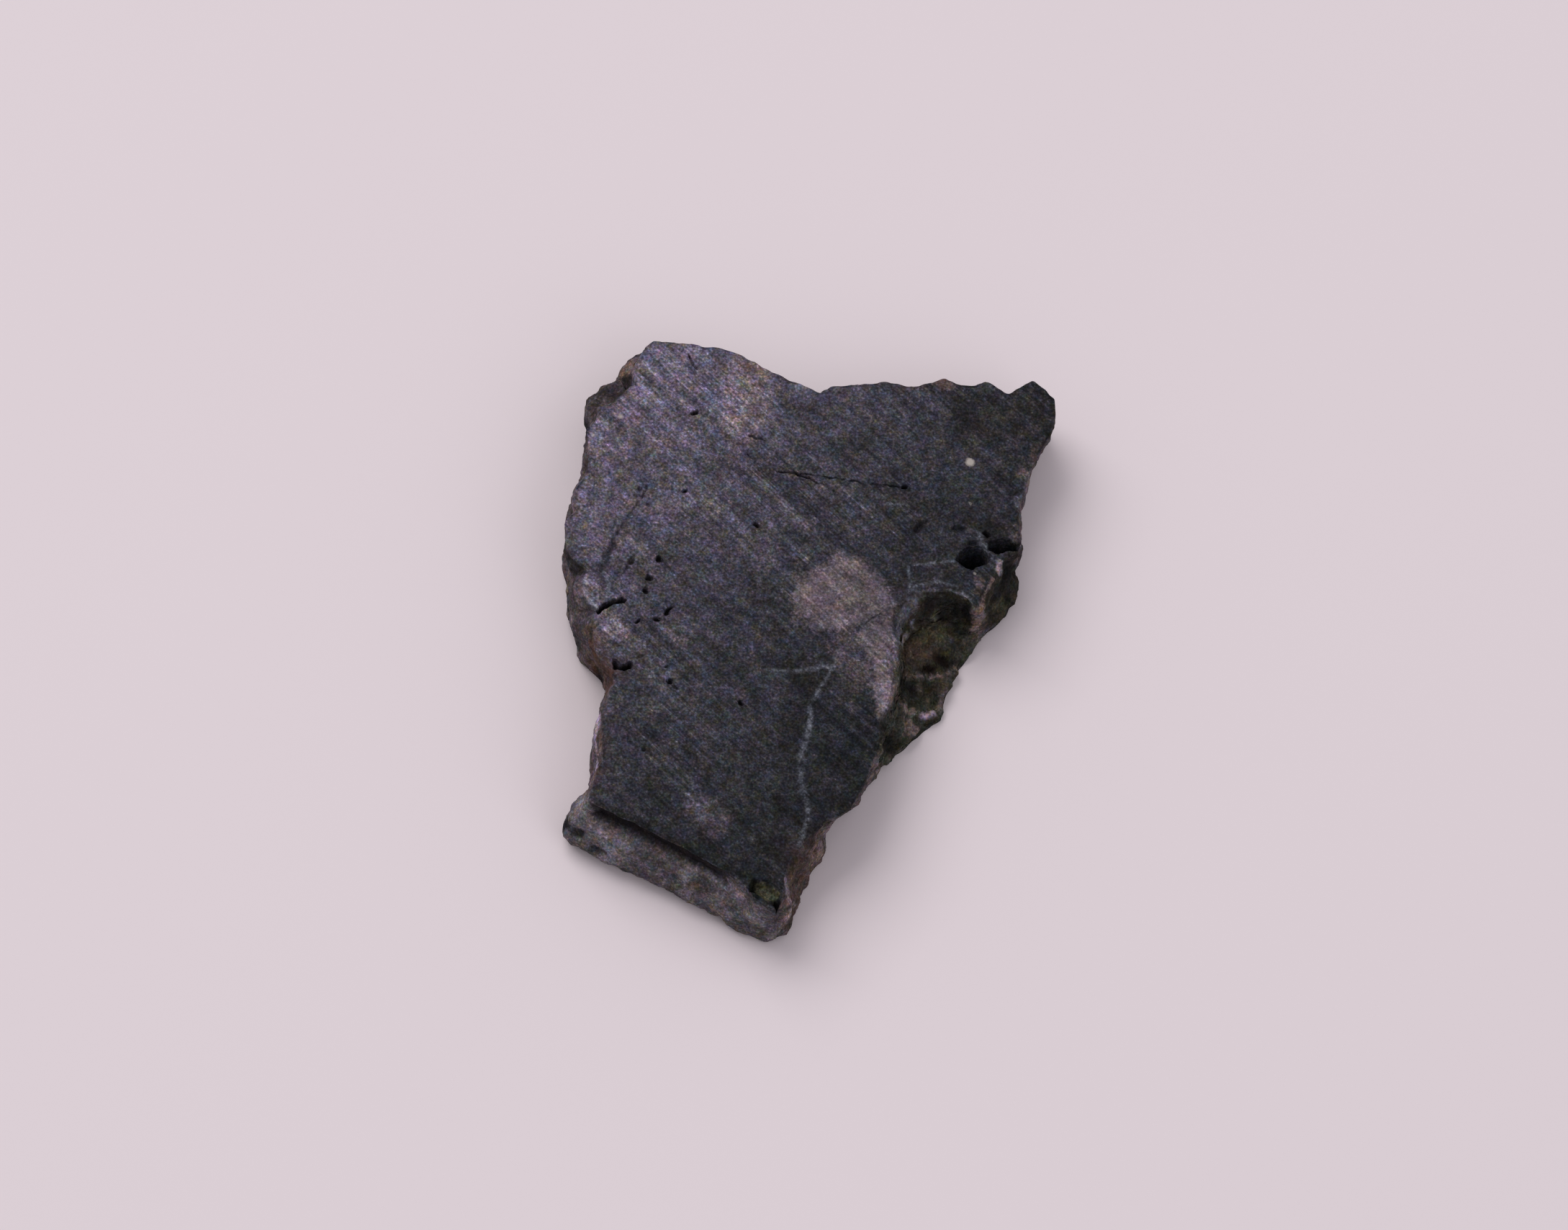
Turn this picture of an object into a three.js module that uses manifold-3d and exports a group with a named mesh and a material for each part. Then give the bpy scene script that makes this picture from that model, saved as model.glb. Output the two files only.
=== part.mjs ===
// A lunar meteorite slice: a thin plate of dark breccia, sawn flat above and below, with a broken edge
// all round. Millimetres, +Z up, resting on its lower sawn face.
import * as THREE from 'three';
import Module from 'manifold-3d';

// ---- driving dimensions ------------------------------------------------------------------------
const THICKNESS = 1.05;        // between the two sawn faces
const RIM_STEP = 0.15;         // longest distance between two points along the broken edge
const WALL_ROWS = 10;          // rows of facets between the upper and the lower sawn face
const ROUGHNESS = 0.028;       // how far the lumps of a broken wall stand out
const CLEAR = 0.06;            // how far a cutter starts above the face that it cuts
const PIT_SIDES = 9;           // sides of a round pit

// How a wall falls away from the rim: pairs of (share of the reach outwards, share of the thickness
// downwards). A wall steps from rim to foot, a shoulder is rounded, a scoop is hollow like a shell break.
const PROFILES = {
  wall: [[0, 0], [0.35, 0.18], [0.8, 0.55], [1, 1]],
  shoulder: [[0, 0], [0.45, 0.09], [0.8, 0.28], [1, 0.58], [0.75, 0.84], [0.35, 1]],
  lobe: [[0, 0], [0.22, 0.32], [0.55, 0.55], [0.92, 0.78], [1, 0.9], [0.96, 1]],
  scoop: [[0, 0], [0.12, 0.09], [0.17, 0.4], [0.27, 0.6], [0.45, 0.7], [0.62, 0.74], [0.68, 0.82],
    [0.95, 0.86], [1, 1]],
  leg: [[0, 0], [0.4, 0.2], [0.75, 0.5], [1, 0.9], [0.97, 1]],
  lip: [[0, 0], [0.05, 0.22], [0.1, 0.27], [0.55, 0.46], [1, 0.72], [0.85, 0.87], [0.4, 1]],
  chip: [[0, 0], [0.22, 0.26], [0.8, 0.34], [1, 0.46], [0.7, 0.66], [-0.1, 1]],
};

// The broken edge, clockwise seen from above. Each point of the upper rim is x, y, and then how far
// the wall's outermost line lies from it in x and y. A stretch's own reach serves where none is given.
const STRETCHES = [
  { name: 'far edge', kind: 'wall', reach: [0.0, 0.07], rim: [
    [-2.18, 4.41], [-1.88, 4.39], [-1.56, 4.37], [-1.22, 4.33], [-0.91, 4.24], [-0.54, 4.01],
    [-0.11, 3.82], [0.21, 3.67], [0.34, 3.81], [0.83, 3.87], [1.14, 3.92], [1.49, 3.85],
    [1.78, 3.93], [1.97, 4.03], [2.14, 3.92], [2.41, 3.93], [2.59, 3.99], [2.88, 3.81],
    [3.05, 3.92]] },
  { name: 'ear', kind: 'wall', reach: [0.02, 0.02], rim: [
    [3.24, 4.05], [3.41, 3.91], [3.55, 3.76], [3.55, 3.48, -0.02, 0.0], [3.47, 3.18, -0.09, 0.02],
    [3.27, 2.88, -0.05, 0.02], [3.14, 2.59, -0.02, 0.0]] },
  { name: 'right edge', kind: 'wall', reach: [0.06, 0.0], rim: [
    [3.0, 2.21], [2.93, 1.98], [2.94, 1.73], [2.96, 1.49], [2.9, 1.3]] },
  { name: 'right lobe', kind: 'lobe', rim: [
    [2.68, 1.17, 0.41, 0.2], [2.61, 0.95, 0.42, 0.12], [2.45, 0.73, 0.41, 0.05], [2.33, 0.49, 0.38, 0.1]] },
  { name: 'ridge', kind: 'leg', rim: [[2.25, 0.42, 0.22, 0.04]] },
  { name: 'shell break', kind: 'scoop', rim: [
    [2.13, 0.58, 0.27, -0.32], [1.87, 0.69, 0.34, -0.71], [1.54, 0.65, 0.52, -0.95],
    [1.27, 0.53, 0.69, -1.07], [1.13, 0.37, 0.79, -1.11], [1.08, -0.13, 0.76, -0.75],
    [1.05, -0.63, 0.59, -0.41], [1.0, -1.08, 0.4, -0.21], [0.85, -1.39, 0.35, -0.05],
    [0.81, -1.75, 0.18, 0.12]] },
  { name: 'inner edge of the leg', kind: 'wall', reach: [0.02, 0.0], rim: [
    [0.72, -2.05], [0.6, -2.38, -0.02, 0.1], [0.47, -2.63, -0.03, 0.28], [0.37, -2.8, -0.26, 0.31],
    [0.12, -2.93, 0.03, 0.18]] },
  { name: 'broken side of the leg', kind: 'leg', rim: [
    [-0.17, -3.18, 0.28, 0.09], [-0.35, -3.37, 0.3, 0.02], [-0.5, -3.59, 0.29, -0.03],
    [-0.56, -3.86, 0.27, -0.05], [-0.59, -4.13, 0.17, -0.08]] },
  { name: 'saw-break lip', kind: 'lip', rim: [
    [-0.69, -4.33, 0.07, -0.07], [-0.98, -4.18, -0.03, -0.07], [-1.17, -3.93, -0.09, -0.18],
    [-1.39, -3.78, -0.11, -0.2], [-1.69, -3.6, -0.11, -0.22], [-2.01, -3.42, -0.12, -0.23],
    [-2.36, -3.23, -0.12, -0.27], [-2.73, -3.05, -0.12, -0.29], [-3.08, -2.88, -0.12, -0.29],
    [-3.22, -2.8, -0.22, -0.2], [-3.25, -2.74, -0.31, -0.09], [-3.21, -2.63, -0.2, 0.04]] },
  { name: 'left edge of the leg, up to its notch', kind: 'wall', reach: [-0.03, 0.0], rim: [
    [-3.15, -2.44], [-3.06, -2.19], [-3.02, -1.95], [-3.05, -1.71], [-2.99, -1.42],
    [-2.91, -1.12, -0.03, 0.04], [-2.82, -0.95, 0.03, 0.26], [-2.9, -0.81, 0.04, 0.36],
    [-3.05, -0.64, 0.06, 0.3], [-3.12, -0.44, 0.02, 0.22]] },
  { name: 'weathered shoulder', kind: 'shoulder', rim: [
    [-3.13, -0.19, -0.13, 0.2], [-3.07, 0.12, -0.28, 0.16], [-3.23, 0.4, -0.15, 0.06],
    [-3.27, 0.65, -0.09, 0.04]] },
  { name: 'scalloped left edge', kind: 'wall', rim: [
    [-3.25, 0.74, -0.02, 0.1], [-3.37, 0.95, 0.06, 0.05], [-3.46, 1.17, 0.12, 0.03],
    [-3.48, 1.44, 0.13, 0.0], [-3.36, 1.64, 0.06, 0.0], [-3.3, 1.91, 0.02, 0.0],
    [-3.21, 2.15, 0.0, 0.0], [-3.14, 2.41, -0.02, 0.0], [-3.1, 2.69, 0.08, 0.0],
    [-3.15, 2.96, 0.18, 0.03], [-3.06, 3.05, 0.1, 0.1]] },
  { name: 'chipped corner', kind: 'chip', rim: [
    [-2.98, 3.19, -0.09, 0.2], [-2.97, 3.33, -0.06, 0.3],
    [-2.79, 3.37, -0.1, 0.4], [-2.77, 3.49, -0.04, 0.4], [-2.58, 3.59, -0.06, 0.36],
    [-2.45, 3.76, -0.13, 0.33], [-2.47, 3.93, 0.0, 0.32], [-2.31, 4.24, 0.0, 0.14]] },
];

// Openings worn or broken down into the upper face: outline, depth, share of the outline left at the
// bottom.
const HOLLOWS = [
  { name: 'deep hole', depth: 0.55, floor: 0.55, outline: [
    [2.0, 1.22], [2.16, 1.32], [2.51, 1.24], [2.47, 1.12], [2.28, 1.02], [2.07, 1.1]] },
  { name: 'side hole', depth: 0.45, floor: 0.6, outline: [
    [2.44, 1.6], [2.6, 1.5], [2.93, 1.46], [3.06, 1.38], [2.9, 1.26], [2.61, 1.27]] },
  { name: 'lip pocket', depth: 0.34, floor: 0.5, outline: [
    [-1.07, -4.04], [-0.92, -3.88], [-0.72, -3.89], [-0.62, -4.08], [-0.68, -4.27], [-0.85, -4.19]] },
  { name: 'shallow hollow', depth: 0.09, floor: 0.4, outline: [
    [1.39, 1.56], [1.47, 1.72], [1.66, 1.78], [1.62, 1.62], [1.5, 1.54]] },
  { name: 'left slot', depth: 0.16, floor: 0.45, outline: [
    [-3.13, 0.11], [-2.9, 0.27], [-2.7, 0.34], [-2.69, 0.27], [-2.88, 0.19], [-3.08, 0.07]] },
  { name: 'left pit', depth: 0.2, floor: 0.5, outline: [
    [-2.88, -0.56], [-2.78, -0.66], [-2.58, -0.66], [-2.63, -0.76], [-2.75, -0.79], [-2.87, -0.73]] },
];

// Small round pits: x, y, half length, half width, turn in degrees, depth.
const PITS = [
  [-1.61, 3.29, 0.06, 0.035, 20, 0.08], [-0.79, 1.56, 0.05, 0.04, 0, 0.08],
  [-1.79, 2.05, 0.045, 0.03, 30, 0.07], [-2.17, 0.97, 0.06, 0.05, 60, 0.09],
  [-2.34, 0.67, 0.055, 0.035, 0, 0.08], [-2.38, 0.47, 0.045, 0.045, 0, 0.08],
  [-2.06, 0.17, 0.1, 0.03, 52, 0.08], [-2.23, 0.03, 0.065, 0.03, -10, 0.08],
  [-2.49, -0.01, 0.06, 0.025, 40, 0.06], [-2.08, -0.92, 0.06, 0.04, -35, 0.09],
  [-1.09, -1.21, 0.04, 0.04, 0, 0.08], [1.35, 2.27, 0.05, 0.035, 0, 0.08],
  [-2.57, 0.91, 0.06, 0.03, 40, 0.06], [-2.56, 3.73, 0.09, 0.06, 10, 0.6],
];

// Cracks in the upper face: a route of x, y and half width, and a depth.
const CRACKS = [
  { name: 'long crack', depth: 0.1, route: [
    [-0.45, 2.4, 0.015], [-0.21, 2.4, 0.02], [0.12, 2.27, 0.02], [0.34, 2.16, 0.012]] },
  { name: 'its upper branch', depth: 0.08, route: [
    [-0.2, 2.41, 0.012], [0.36, 2.36, 0.018], [0.77, 2.29, 0.012], [1.28, 2.27, 0.015]] },
  { name: 'short crack', depth: 0.08, route: [[-0.86, 2.95, 0.015], [-0.74, 2.92, 0.025], [-0.63, 2.92, 0.012]] },
  { name: 'crack at the peak', depth: 0.07, route: [
    [-1.67, 4.2, 0.012], [-1.62, 4.1, 0.022], [-1.57, 3.98, 0.015]] },
  { name: 'left groove', depth: 0.06, route: [
    [-2.32, 2.06, 0.015], [-2.62, 1.56, 0.03], [-2.83, 1.11, 0.05], [-2.98, 0.78, 0.02]] },
  { name: 'crack in the clast', depth: 0.07, route: [[0.62, 0.05, 0.012], [0.8, 0.17, 0.02], [0.97, 0.31, 0.012]] },
];

// ---- geometry ----------------------------------------------------------------------------------
const wasm = await Module();
wasm.setup();

/** A closed triangle list as a solid that can be joined and cut. */
function solid(points, triangles) {
  return new wasm.Manifold(new wasm.Mesh({
    numProp: 3,
    vertProperties: new Float32Array(points.flat()),
    triVerts: new Uint32Array(triangles.flat()),
  }));
}

/** Triangles of a flat outline, all turning the way that makes them face up, or down. */
function cap(outline, facesUp) {
  const corners = outline.map(([x, y]) => new THREE.Vector2(x, y));
  return THREE.ShapeUtils.triangulateShape(corners, []).map(([a, b, c]) => {
    const ab = corners[b].clone().sub(corners[a]);
    const ac = corners[c].clone().sub(corners[a]);
    return (ab.cross(ac) > 0) === facesUp ? [a, b, c] : [a, c, b];
  });
}

/** Rings of equal length, the uppermost first and clockwise from above, closed at both ends. */
function loft(rings) {
  const count = rings[0].length;
  const triangles = cap(rings[0], true);
  for (let row = 0; row + 1 < rings.length; row++) {
    for (let i = 0; i < count; i++) {
      const next = (i + 1) % count;
      const [a, b] = [row * count + i, row * count + next];
      triangles.push([a, b, b + count], [a, b + count, a + count]);
    }
  }
  const last = rings.length - 1;
  triangles.push(...cap(rings[last], false).map((face) => face.map((corner) => corner + last * count)));
  return solid(rings.flat(), triangles);
}

/** Points spread evenly along a profile, so that every kind of wall has the same number of rows. */
function spread(profile, rows) {
  const path = new THREE.CurvePath();
  for (let i = 0; i + 1 < profile.length; i++) {
    path.add(new THREE.LineCurve(new THREE.Vector2(...profile[i]), new THREE.Vector2(...profile[i + 1])));
  }
  return Array.from({ length: rows + 1 }, (_, row) => path.getPointAt(row / rows).toArray());
}

const mix = (a, b, share) => a + (b - a) * share;

/** The lumps of a broken wall: slow waves across the rock, from -1 to 1. */
function lumps(x, y, z) {
  return (Math.sin(5.1 * x + 3.7 * y + 4 * z) + Math.sin(-4.3 * x + 6.9 * y - 5 * z + 1.3)
    + Math.sin(11.7 * x - 9.1 * y + 8 * z + 0.7) + Math.sin(9.7 * x + 14.3 * y + 2.1)) / 4;
}

/** The rim points with their reach and their wall's rows, with more between those that lie far apart. */
function edgePoints() {
  const stations = STRETCHES.flatMap(({ kind, reach, rim }) => {
    const rows = spread(PROFILES[kind], WALL_ROWS);
    return rim.map(([x, y, dx = reach[0], dy = reach[1]]) => ({ x, y, dx, dy, rows }));
  });
  return stations.flatMap((from, i) => {
    const to = stations[(i + 1) % stations.length];
    const steps = Math.ceil(Math.hypot(to.x - from.x, to.y - from.y) / RIM_STEP);
    return Array.from({ length: steps }, (_, step) => {
      const share = step / steps;
      return {
        x: mix(from.x, to.x, share), y: mix(from.y, to.y, share),
        dx: mix(from.dx, to.dx, share), dy: mix(from.dy, to.dy, share),
        rows: from.rows.map(([out, down], row) => (
          [mix(out, to.rows[row][0], share), mix(down, to.rows[row][1], share)])),
      };
    });
  });
}

/** The plate: the rim's outline carried down its own wall profile to the lower sawn face. */
function plate() {
  const edge = edgePoints();
  const rings = [];
  for (let row = 0; row <= WALL_ROWS; row++) {
    rings.push(edge.map((point, i) => {
      const before = edge[(i + edge.length - 1) % edge.length];
      const after = edge[(i + 1) % edge.length];
      const along = new THREE.Vector2(after.x - before.x, after.y - before.y).normalize();
      const [out, down] = point.rows[row];
      const z = row === WALL_ROWS ? 0 : THICKNESS * (1 - down);
      const x = point.x + point.dx * out;
      const y = point.y + point.dy * out;
      const lump = ROUGHNESS * lumps(x, y, z) * Math.sin(Math.PI * row / WALL_ROWS);
      return [x - along.y * lump, y + along.x * lump, z];
    }));
  }
  return loft(rings);
}

/** A hollow: its outline above the face, narrowing to a floor at its depth. */
function hollow({ outline, depth, floor }) {
  const middle = (axis) => outline.reduce((sum, point) => sum + point[axis], 0) / outline.length;
  const [cx, cy] = [middle(0), middle(1)];
  const ring = (size, z) => outline.map(([x, y]) => [mix(cx, x, size), mix(cy, y, size), z]);
  return loft([
    ring(1, THICKNESS + CLEAR), ring(1, THICKNESS),
    ring(mix(floor, 1, 0.6), THICKNESS - depth * 0.6), ring(floor * 0.8, THICKNESS - depth)]);
}

/** A round pit is a hollow with an ellipse for its outline. */
function pit([x, y, halfLength, halfWidth, turn, depth]) {
  const angle = THREE.MathUtils.degToRad(turn);
  const outline = Array.from({ length: PIT_SIDES }, (_, side) => {
    const around = -2 * Math.PI * side / PIT_SIDES;
    const [u, v] = [halfLength * Math.cos(around), halfWidth * Math.sin(around)];
    return [x + u * Math.cos(angle) - v * Math.sin(angle), y + u * Math.sin(angle) + v * Math.cos(angle)];
  });
  return hollow({ outline, depth, floor: 0.4 });
}

/** A crack is a wedge along its route, open at the face and sharp at the bottom. */
function crack({ depth, route }) {
  const points = route.flatMap(([x, y, half], i) => {
    const [ax, ay] = route[Math.max(i - 1, 0)];
    const [bx, by] = route[Math.min(i + 1, route.length - 1)];
    const side = new THREE.Vector2(-(by - ay), bx - ax).normalize().multiplyScalar(half);
    const top = THICKNESS + CLEAR;
    return [[x + side.x, y + side.y, top], [x - side.x, y - side.y, top], [x, y, THICKNESS - depth]];
  });
  const end = points.length - 3;
  const triangles = [[0, 2, 1], [end, end + 1, end + 2]];
  for (let start = 0; start < end; start += 3) {
    for (let corner = 0; corner < 3; corner++) {
      const [a, b] = [start + corner, start + (corner + 1) % 3];
      triangles.push([a, b, b + 3], [a, b + 3, a + 3]);
    }
  }
  return solid(points, triangles);
}

/** The solid as a mesh with flat facets, moved so that the middle of its base is the origin. */
function toMesh(body, name, material) {
  const { vertProperties, triVerts } = body.getMesh();
  const geometry = new THREE.BufferGeometry();
  geometry.setAttribute('position', new THREE.BufferAttribute(vertProperties, 3));
  geometry.setIndex(new THREE.BufferAttribute(triVerts, 1));
  geometry.computeBoundingBox();
  const middle = geometry.boundingBox.getCenter(new THREE.Vector3());
  geometry.translate(-middle.x, -middle.y, -geometry.boundingBox.min.z);
  geometry.computeVertexNormals();
  const mesh = new THREE.Mesh(geometry, material);
  mesh.name = name;
  return mesh;
}

// ---- the slice ---------------------------------------------------------------------------------
let slice = plate();
for (const cutter of [...HOLLOWS.map(hollow), ...PITS.map(pit), ...CRACKS.map(crack)]) {
  slice = slice.subtract(cutter);
}

const breccia = new THREE.MeshStandardMaterial({
  color: 0x4b4a55, roughness: 0.85, metalness: 0, flatShading: true });
const specimen = new THREE.Group();
specimen.add(toMesh(slice, 'meteorite_slice', breccia));

export default specimen;
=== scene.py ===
# %% [markdown]
# # A slice of lunar meteorite
# The real thing is a thin plate of dark breccia, rock that impacts on the Moon broke and welded
# together again. A saw cut it flat above and below, and its outline is broken all round. It is only
# about 7 mm by 9 mm and 1 mm thick, so every mark in it is measured in hundredths of a millimetre.
#
# The slice is one closed skin. It could be sculpted by hand, but here each surface is worked out from
# a few lists of sizes, so that a reader can follow where every ledge, pit and vein comes from.

# %% Load the plain solid that this skin stands for
import itertools
import math

import bpy
import numpy as np
from mathutils import Matrix, Vector
from mathutils.geometry import delaunay_2d_cdt


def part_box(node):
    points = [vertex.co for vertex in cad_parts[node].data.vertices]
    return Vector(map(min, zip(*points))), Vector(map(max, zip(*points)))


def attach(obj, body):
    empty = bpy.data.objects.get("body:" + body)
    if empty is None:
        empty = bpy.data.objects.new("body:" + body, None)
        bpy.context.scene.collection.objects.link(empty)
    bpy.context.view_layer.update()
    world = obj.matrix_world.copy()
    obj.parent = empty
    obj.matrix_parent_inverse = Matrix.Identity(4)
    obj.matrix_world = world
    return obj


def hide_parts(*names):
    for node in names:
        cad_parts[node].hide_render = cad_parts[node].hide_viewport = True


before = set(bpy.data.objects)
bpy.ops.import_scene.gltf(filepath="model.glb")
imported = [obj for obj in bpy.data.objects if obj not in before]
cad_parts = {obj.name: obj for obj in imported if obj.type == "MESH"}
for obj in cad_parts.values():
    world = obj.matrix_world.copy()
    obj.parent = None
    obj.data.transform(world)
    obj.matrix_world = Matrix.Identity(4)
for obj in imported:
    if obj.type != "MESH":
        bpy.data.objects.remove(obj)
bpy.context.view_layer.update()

NODE = "meteorite_slice"

# %% [markdown]
# ## The broken edge
# Seen from above, the slice is an outline of a hundred or so points. At each point the wall falls
# away in its own manner: straight, rounded by weather, hollow like a break in thick glass, or stepped
# where the saw stopped short and the last of the stone snapped. A profile gives each manner, and each
# outline point says how far its wall reaches out. The list is the solid's own, in its millimetres.
# Only the scalloped edge and the chipped corner have more points, and some moved by a few hundredths.

# %% Sizes and wall profiles
MM = 0.001                     # Blender works in metres, and the lists here are in millimetres
THICKNESS = 1.05               # between the two sawn faces
ROUGHNESS = 0.028              # how far the slow waves of a broken wall stand out
# Each wave: how quickly it turns along x, y and z, in radians per mm, and where it starts.
WAVES = [(5.1, 3.7, 4, 0), (-4.3, 6.9, -5, 1.3), (11.7, -9.1, 8, 0.7), (9.7, 14.3, 0, 2.1)]
RIM_SPACING = 0.0275           # between two columns of the wall's grid
WALL_ROWS = 35                 # rows of that grid between the upper and the lower face

# Pairs of (share of the reach outwards, share of the thickness downwards).
PROFILES = {
    "wall": [(0, 0), (0.35, 0.18), (0.8, 0.55), (1, 1)],
    "shoulder": [(0, 0), (0.45, 0.09), (0.8, 0.28), (1, 0.58), (0.75, 0.84), (0.35, 1)],
    "lobe": [(0, 0), (0.22, 0.32), (0.55, 0.55), (0.92, 0.78), (1, 0.9), (0.96, 1)],
    "scoop": [(0, 0), (0.12, 0.09), (0.17, 0.4), (0.27, 0.6), (0.45, 0.7), (0.62, 0.74),
              (0.68, 0.82), (0.95, 0.86), (1, 1)],
    "leg": [(0, 0), (0.4, 0.2), (0.75, 0.5), (1, 0.9), (0.97, 1)],
    "lip": [(0, 0), (0.05, 0.22), (0.1, 0.27), (0.55, 0.46), (1, 0.72), (0.85, 0.87), (0.4, 1)],
    "chip": [(0, 0), (0.22, 0.26), (0.8, 0.34), (1, 0.46), (0.7, 0.66), (-0.1, 1)],
}
KINDS = list(PROFILES)
print("kinds of wall:", ", ".join(KINDS))

# %% The outline, clockwise from above
# Each stretch: kind of wall, its usual reach in x and y, then points of x, y and, where the reach
# differs, the reach in x and y.
STRETCHES = {
    "far edge": ("wall", (0.0, 0.07), [
        (-2.18, 4.41), (-1.88, 4.39), (-1.56, 4.37), (-1.22, 4.33), (-0.91, 4.24), (-0.54, 4.01),
        (-0.11, 3.82), (0.21, 3.67), (0.34, 3.81), (0.83, 3.87), (1.14, 3.92), (1.49, 3.85),
        (1.78, 3.93), (1.97, 4.03), (2.14, 3.92), (2.41, 3.93), (2.59, 3.99), (2.88, 3.81),
        (3.05, 3.92)]),
    "ear": ("wall", (0.02, 0.02), [
        (3.24, 4.05), (3.41, 3.91), (3.55, 3.76), (3.55, 3.48, -0.02, 0.0),
        (3.47, 3.18, -0.09, 0.02), (3.27, 2.88, -0.05, 0.02), (3.14, 2.59, -0.02, 0.0)]),
    "right edge": ("wall", (0.06, 0.0), [
        (3.0, 2.21), (2.93, 1.98), (2.94, 1.73), (2.96, 1.49), (2.9, 1.3)]),
    "right lobe": ("lobe", (0.4, 0.1), [
        (2.68, 1.17, 0.41, 0.2), (2.61, 0.95, 0.42, 0.12), (2.45, 0.73, 0.41, 0.05),
        (2.33, 0.49, 0.38, 0.1)]),
    "ridge": ("leg", (0.22, 0.04), [(2.25, 0.42)]),
    "shell break": ("scoop", (0.6, -0.7), [
        (2.13, 0.58, 0.27, -0.32), (1.87, 0.69, 0.34, -0.71), (1.54, 0.65, 0.52, -0.95),
        (1.27, 0.53, 0.69, -1.07), (1.13, 0.37, 0.8, -1.07), (1.08, -0.13, 0.82, -0.72),
        (1.05, -0.63, 0.61, -0.39), (1.0, -1.08, 0.4, -0.21), (0.85, -1.39, 0.35, -0.05),
        (0.81, -1.75, 0.18, 0.12)]),
    "inner edge of the leg": ("wall", (0.02, 0.0), [
        (0.72, -2.05), (0.6, -2.38, -0.02, 0.1), (0.47, -2.63, -0.03, 0.28),
        (0.37, -2.8, -0.26, 0.31), (0.12, -2.93, 0.03, 0.18)]),
    "broken side of the leg": ("leg", (0.29, 0.0), [
        (-0.17, -3.18, 0.28, 0.09), (-0.35, -3.37, 0.3, 0.02), (-0.5, -3.59, 0.29, -0.03),
        (-0.56, -3.86, 0.27, -0.05), (-0.59, -4.13, 0.17, -0.08)]),
    "saw-break lip": ("lip", (-0.12, -0.25), [
        (-0.69, -4.33, 0.07, -0.07), (-0.98, -4.18, -0.03, -0.07), (-1.17, -3.93, -0.09, -0.18),
        (-1.39, -3.78, -0.11, -0.2), (-1.69, -3.6, -0.11, -0.22), (-2.01, -3.42, -0.12, -0.23),
        (-2.36, -3.23, -0.12, -0.27), (-2.73, -3.05, -0.12, -0.29), (-3.08, -2.88, -0.12, -0.29),
        (-3.22, -2.8, -0.22, -0.2), (-3.25, -2.74, -0.31, -0.09), (-3.21, -2.63, -0.2, 0.04)]),
    "left edge of the leg, up to its notch": ("wall", (-0.03, 0.0), [
        (-3.15, -2.44), (-3.06, -2.19), (-3.02, -1.95), (-3.05, -1.71), (-2.99, -1.42),
        (-2.91, -1.12, -0.03, 0.04), (-2.82, -0.95, 0.03, 0.26), (-2.9, -0.81, 0.04, 0.36),
        (-3.05, -0.64, 0.06, 0.3), (-3.12, -0.44, 0.02, 0.22)]),
    "weathered shoulder": ("shoulder", (-0.15, 0.1), [
        (-3.13, -0.19, -0.13, 0.2), (-3.07, 0.12, -0.28, 0.16), (-3.23, 0.4, -0.15, 0.06),
        (-3.27, 0.65, -0.09, 0.04)]),
    "scalloped left edge": ("wall", (0.05, 0.02), [
        (-3.22, 0.77, -0.1, 0.05), (-3.3, 0.82, -0.02, 0.08), (-3.4, 0.94, 0.07, 0.08),
        (-3.47, 1.1, 0.11, 0.05), (-3.5, 1.26, 0.13, 0.05), (-3.5, 1.4, 0.12, 0.03),
        (-3.47, 1.52, 0.1, 0.03), (-3.41, 1.6, 0.06, 0.02), (-3.35, 1.65, 0.02, 0.02),
        (-3.31, 1.71, 0.0, 0.02), (-3.33, 1.8, 0.01, 0.02), (-3.35, 1.9, 0.02, 0.02),
        (-3.33, 2.02, 0.05, 0.03), (-3.26, 2.12, 0.04, 0.03), (-3.19, 2.2, -0.02, 0.02),
        (-3.14, 2.38, -0.04, 0.0), (-3.13, 2.69, 0.02, 0.0), (-3.17, 2.95, 0.15, 0.03),
        (-3.06, 3.04, 0.06, 0.1)]),
    "chipped corner": ("chip", (-0.06, 0.3), [
        (-2.99, 3.17, -0.11, 0.22), (-2.97, 3.32, -0.1, 0.33), (-2.8, 3.33, -0.13, 0.44),
        (-2.7, 3.43, -0.1, 0.46), (-2.59, 3.56, -0.08, 0.4), (-2.46, 3.77, -0.13, 0.34),
        (-2.47, 3.93, 0.0, 0.32), (-2.31, 4.24, 0.0, 0.14)]),
}
print(len(STRETCHES), "stretches of edge,", sum(len(rim) for _, _, rim in STRETCHES.values()), "points")

# %% [markdown]
# ## Lumps that repeat each run
# Broken stone has lumps of every size. They could come from Blender's own noise textures, one vertex
# at a time, but a noise written with whole arrays is quicker and can be read in a few lines. A random
# height sits at each corner of a lattice of cubes, and a smooth blend joins the eight around a point.
# The heights come from a fixed sum, so nothing changes between two runs.

# %% Noise as whole arrays
STIR = np.array([374761393, 668265263, 974634777])     # a large odd number for each axis
STIR_SEED, STIR_AGAIN = 1442695041, 1274126177
KEEP_31_BITS, KEEP_16_BITS = 0x7FFFFFFF, 0xFFFF


def lattice(corner, seed):
    """A fixed random number from -1 to 1 for each lattice corner: its three whole numbers, each
    times a large odd number, added and scrambled by shifts."""
    key = ((corner * STIR).sum(axis=-1) + seed * STIR_SEED) & KEEP_31_BITS
    key = ((key ^ (key >> 13)) * STIR_AGAIN) & KEEP_31_BITS
    return ((key ^ (key >> 16)) & KEEP_16_BITS) / (KEEP_16_BITS / 2) - 1


def ease(share):
    """A smooth step: 0 up to share 0, 1 from share 1, and 3t² - 2t³ between."""
    share = np.clip(share, 0, 1)
    return share * share * (3 - 2 * share)


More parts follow.
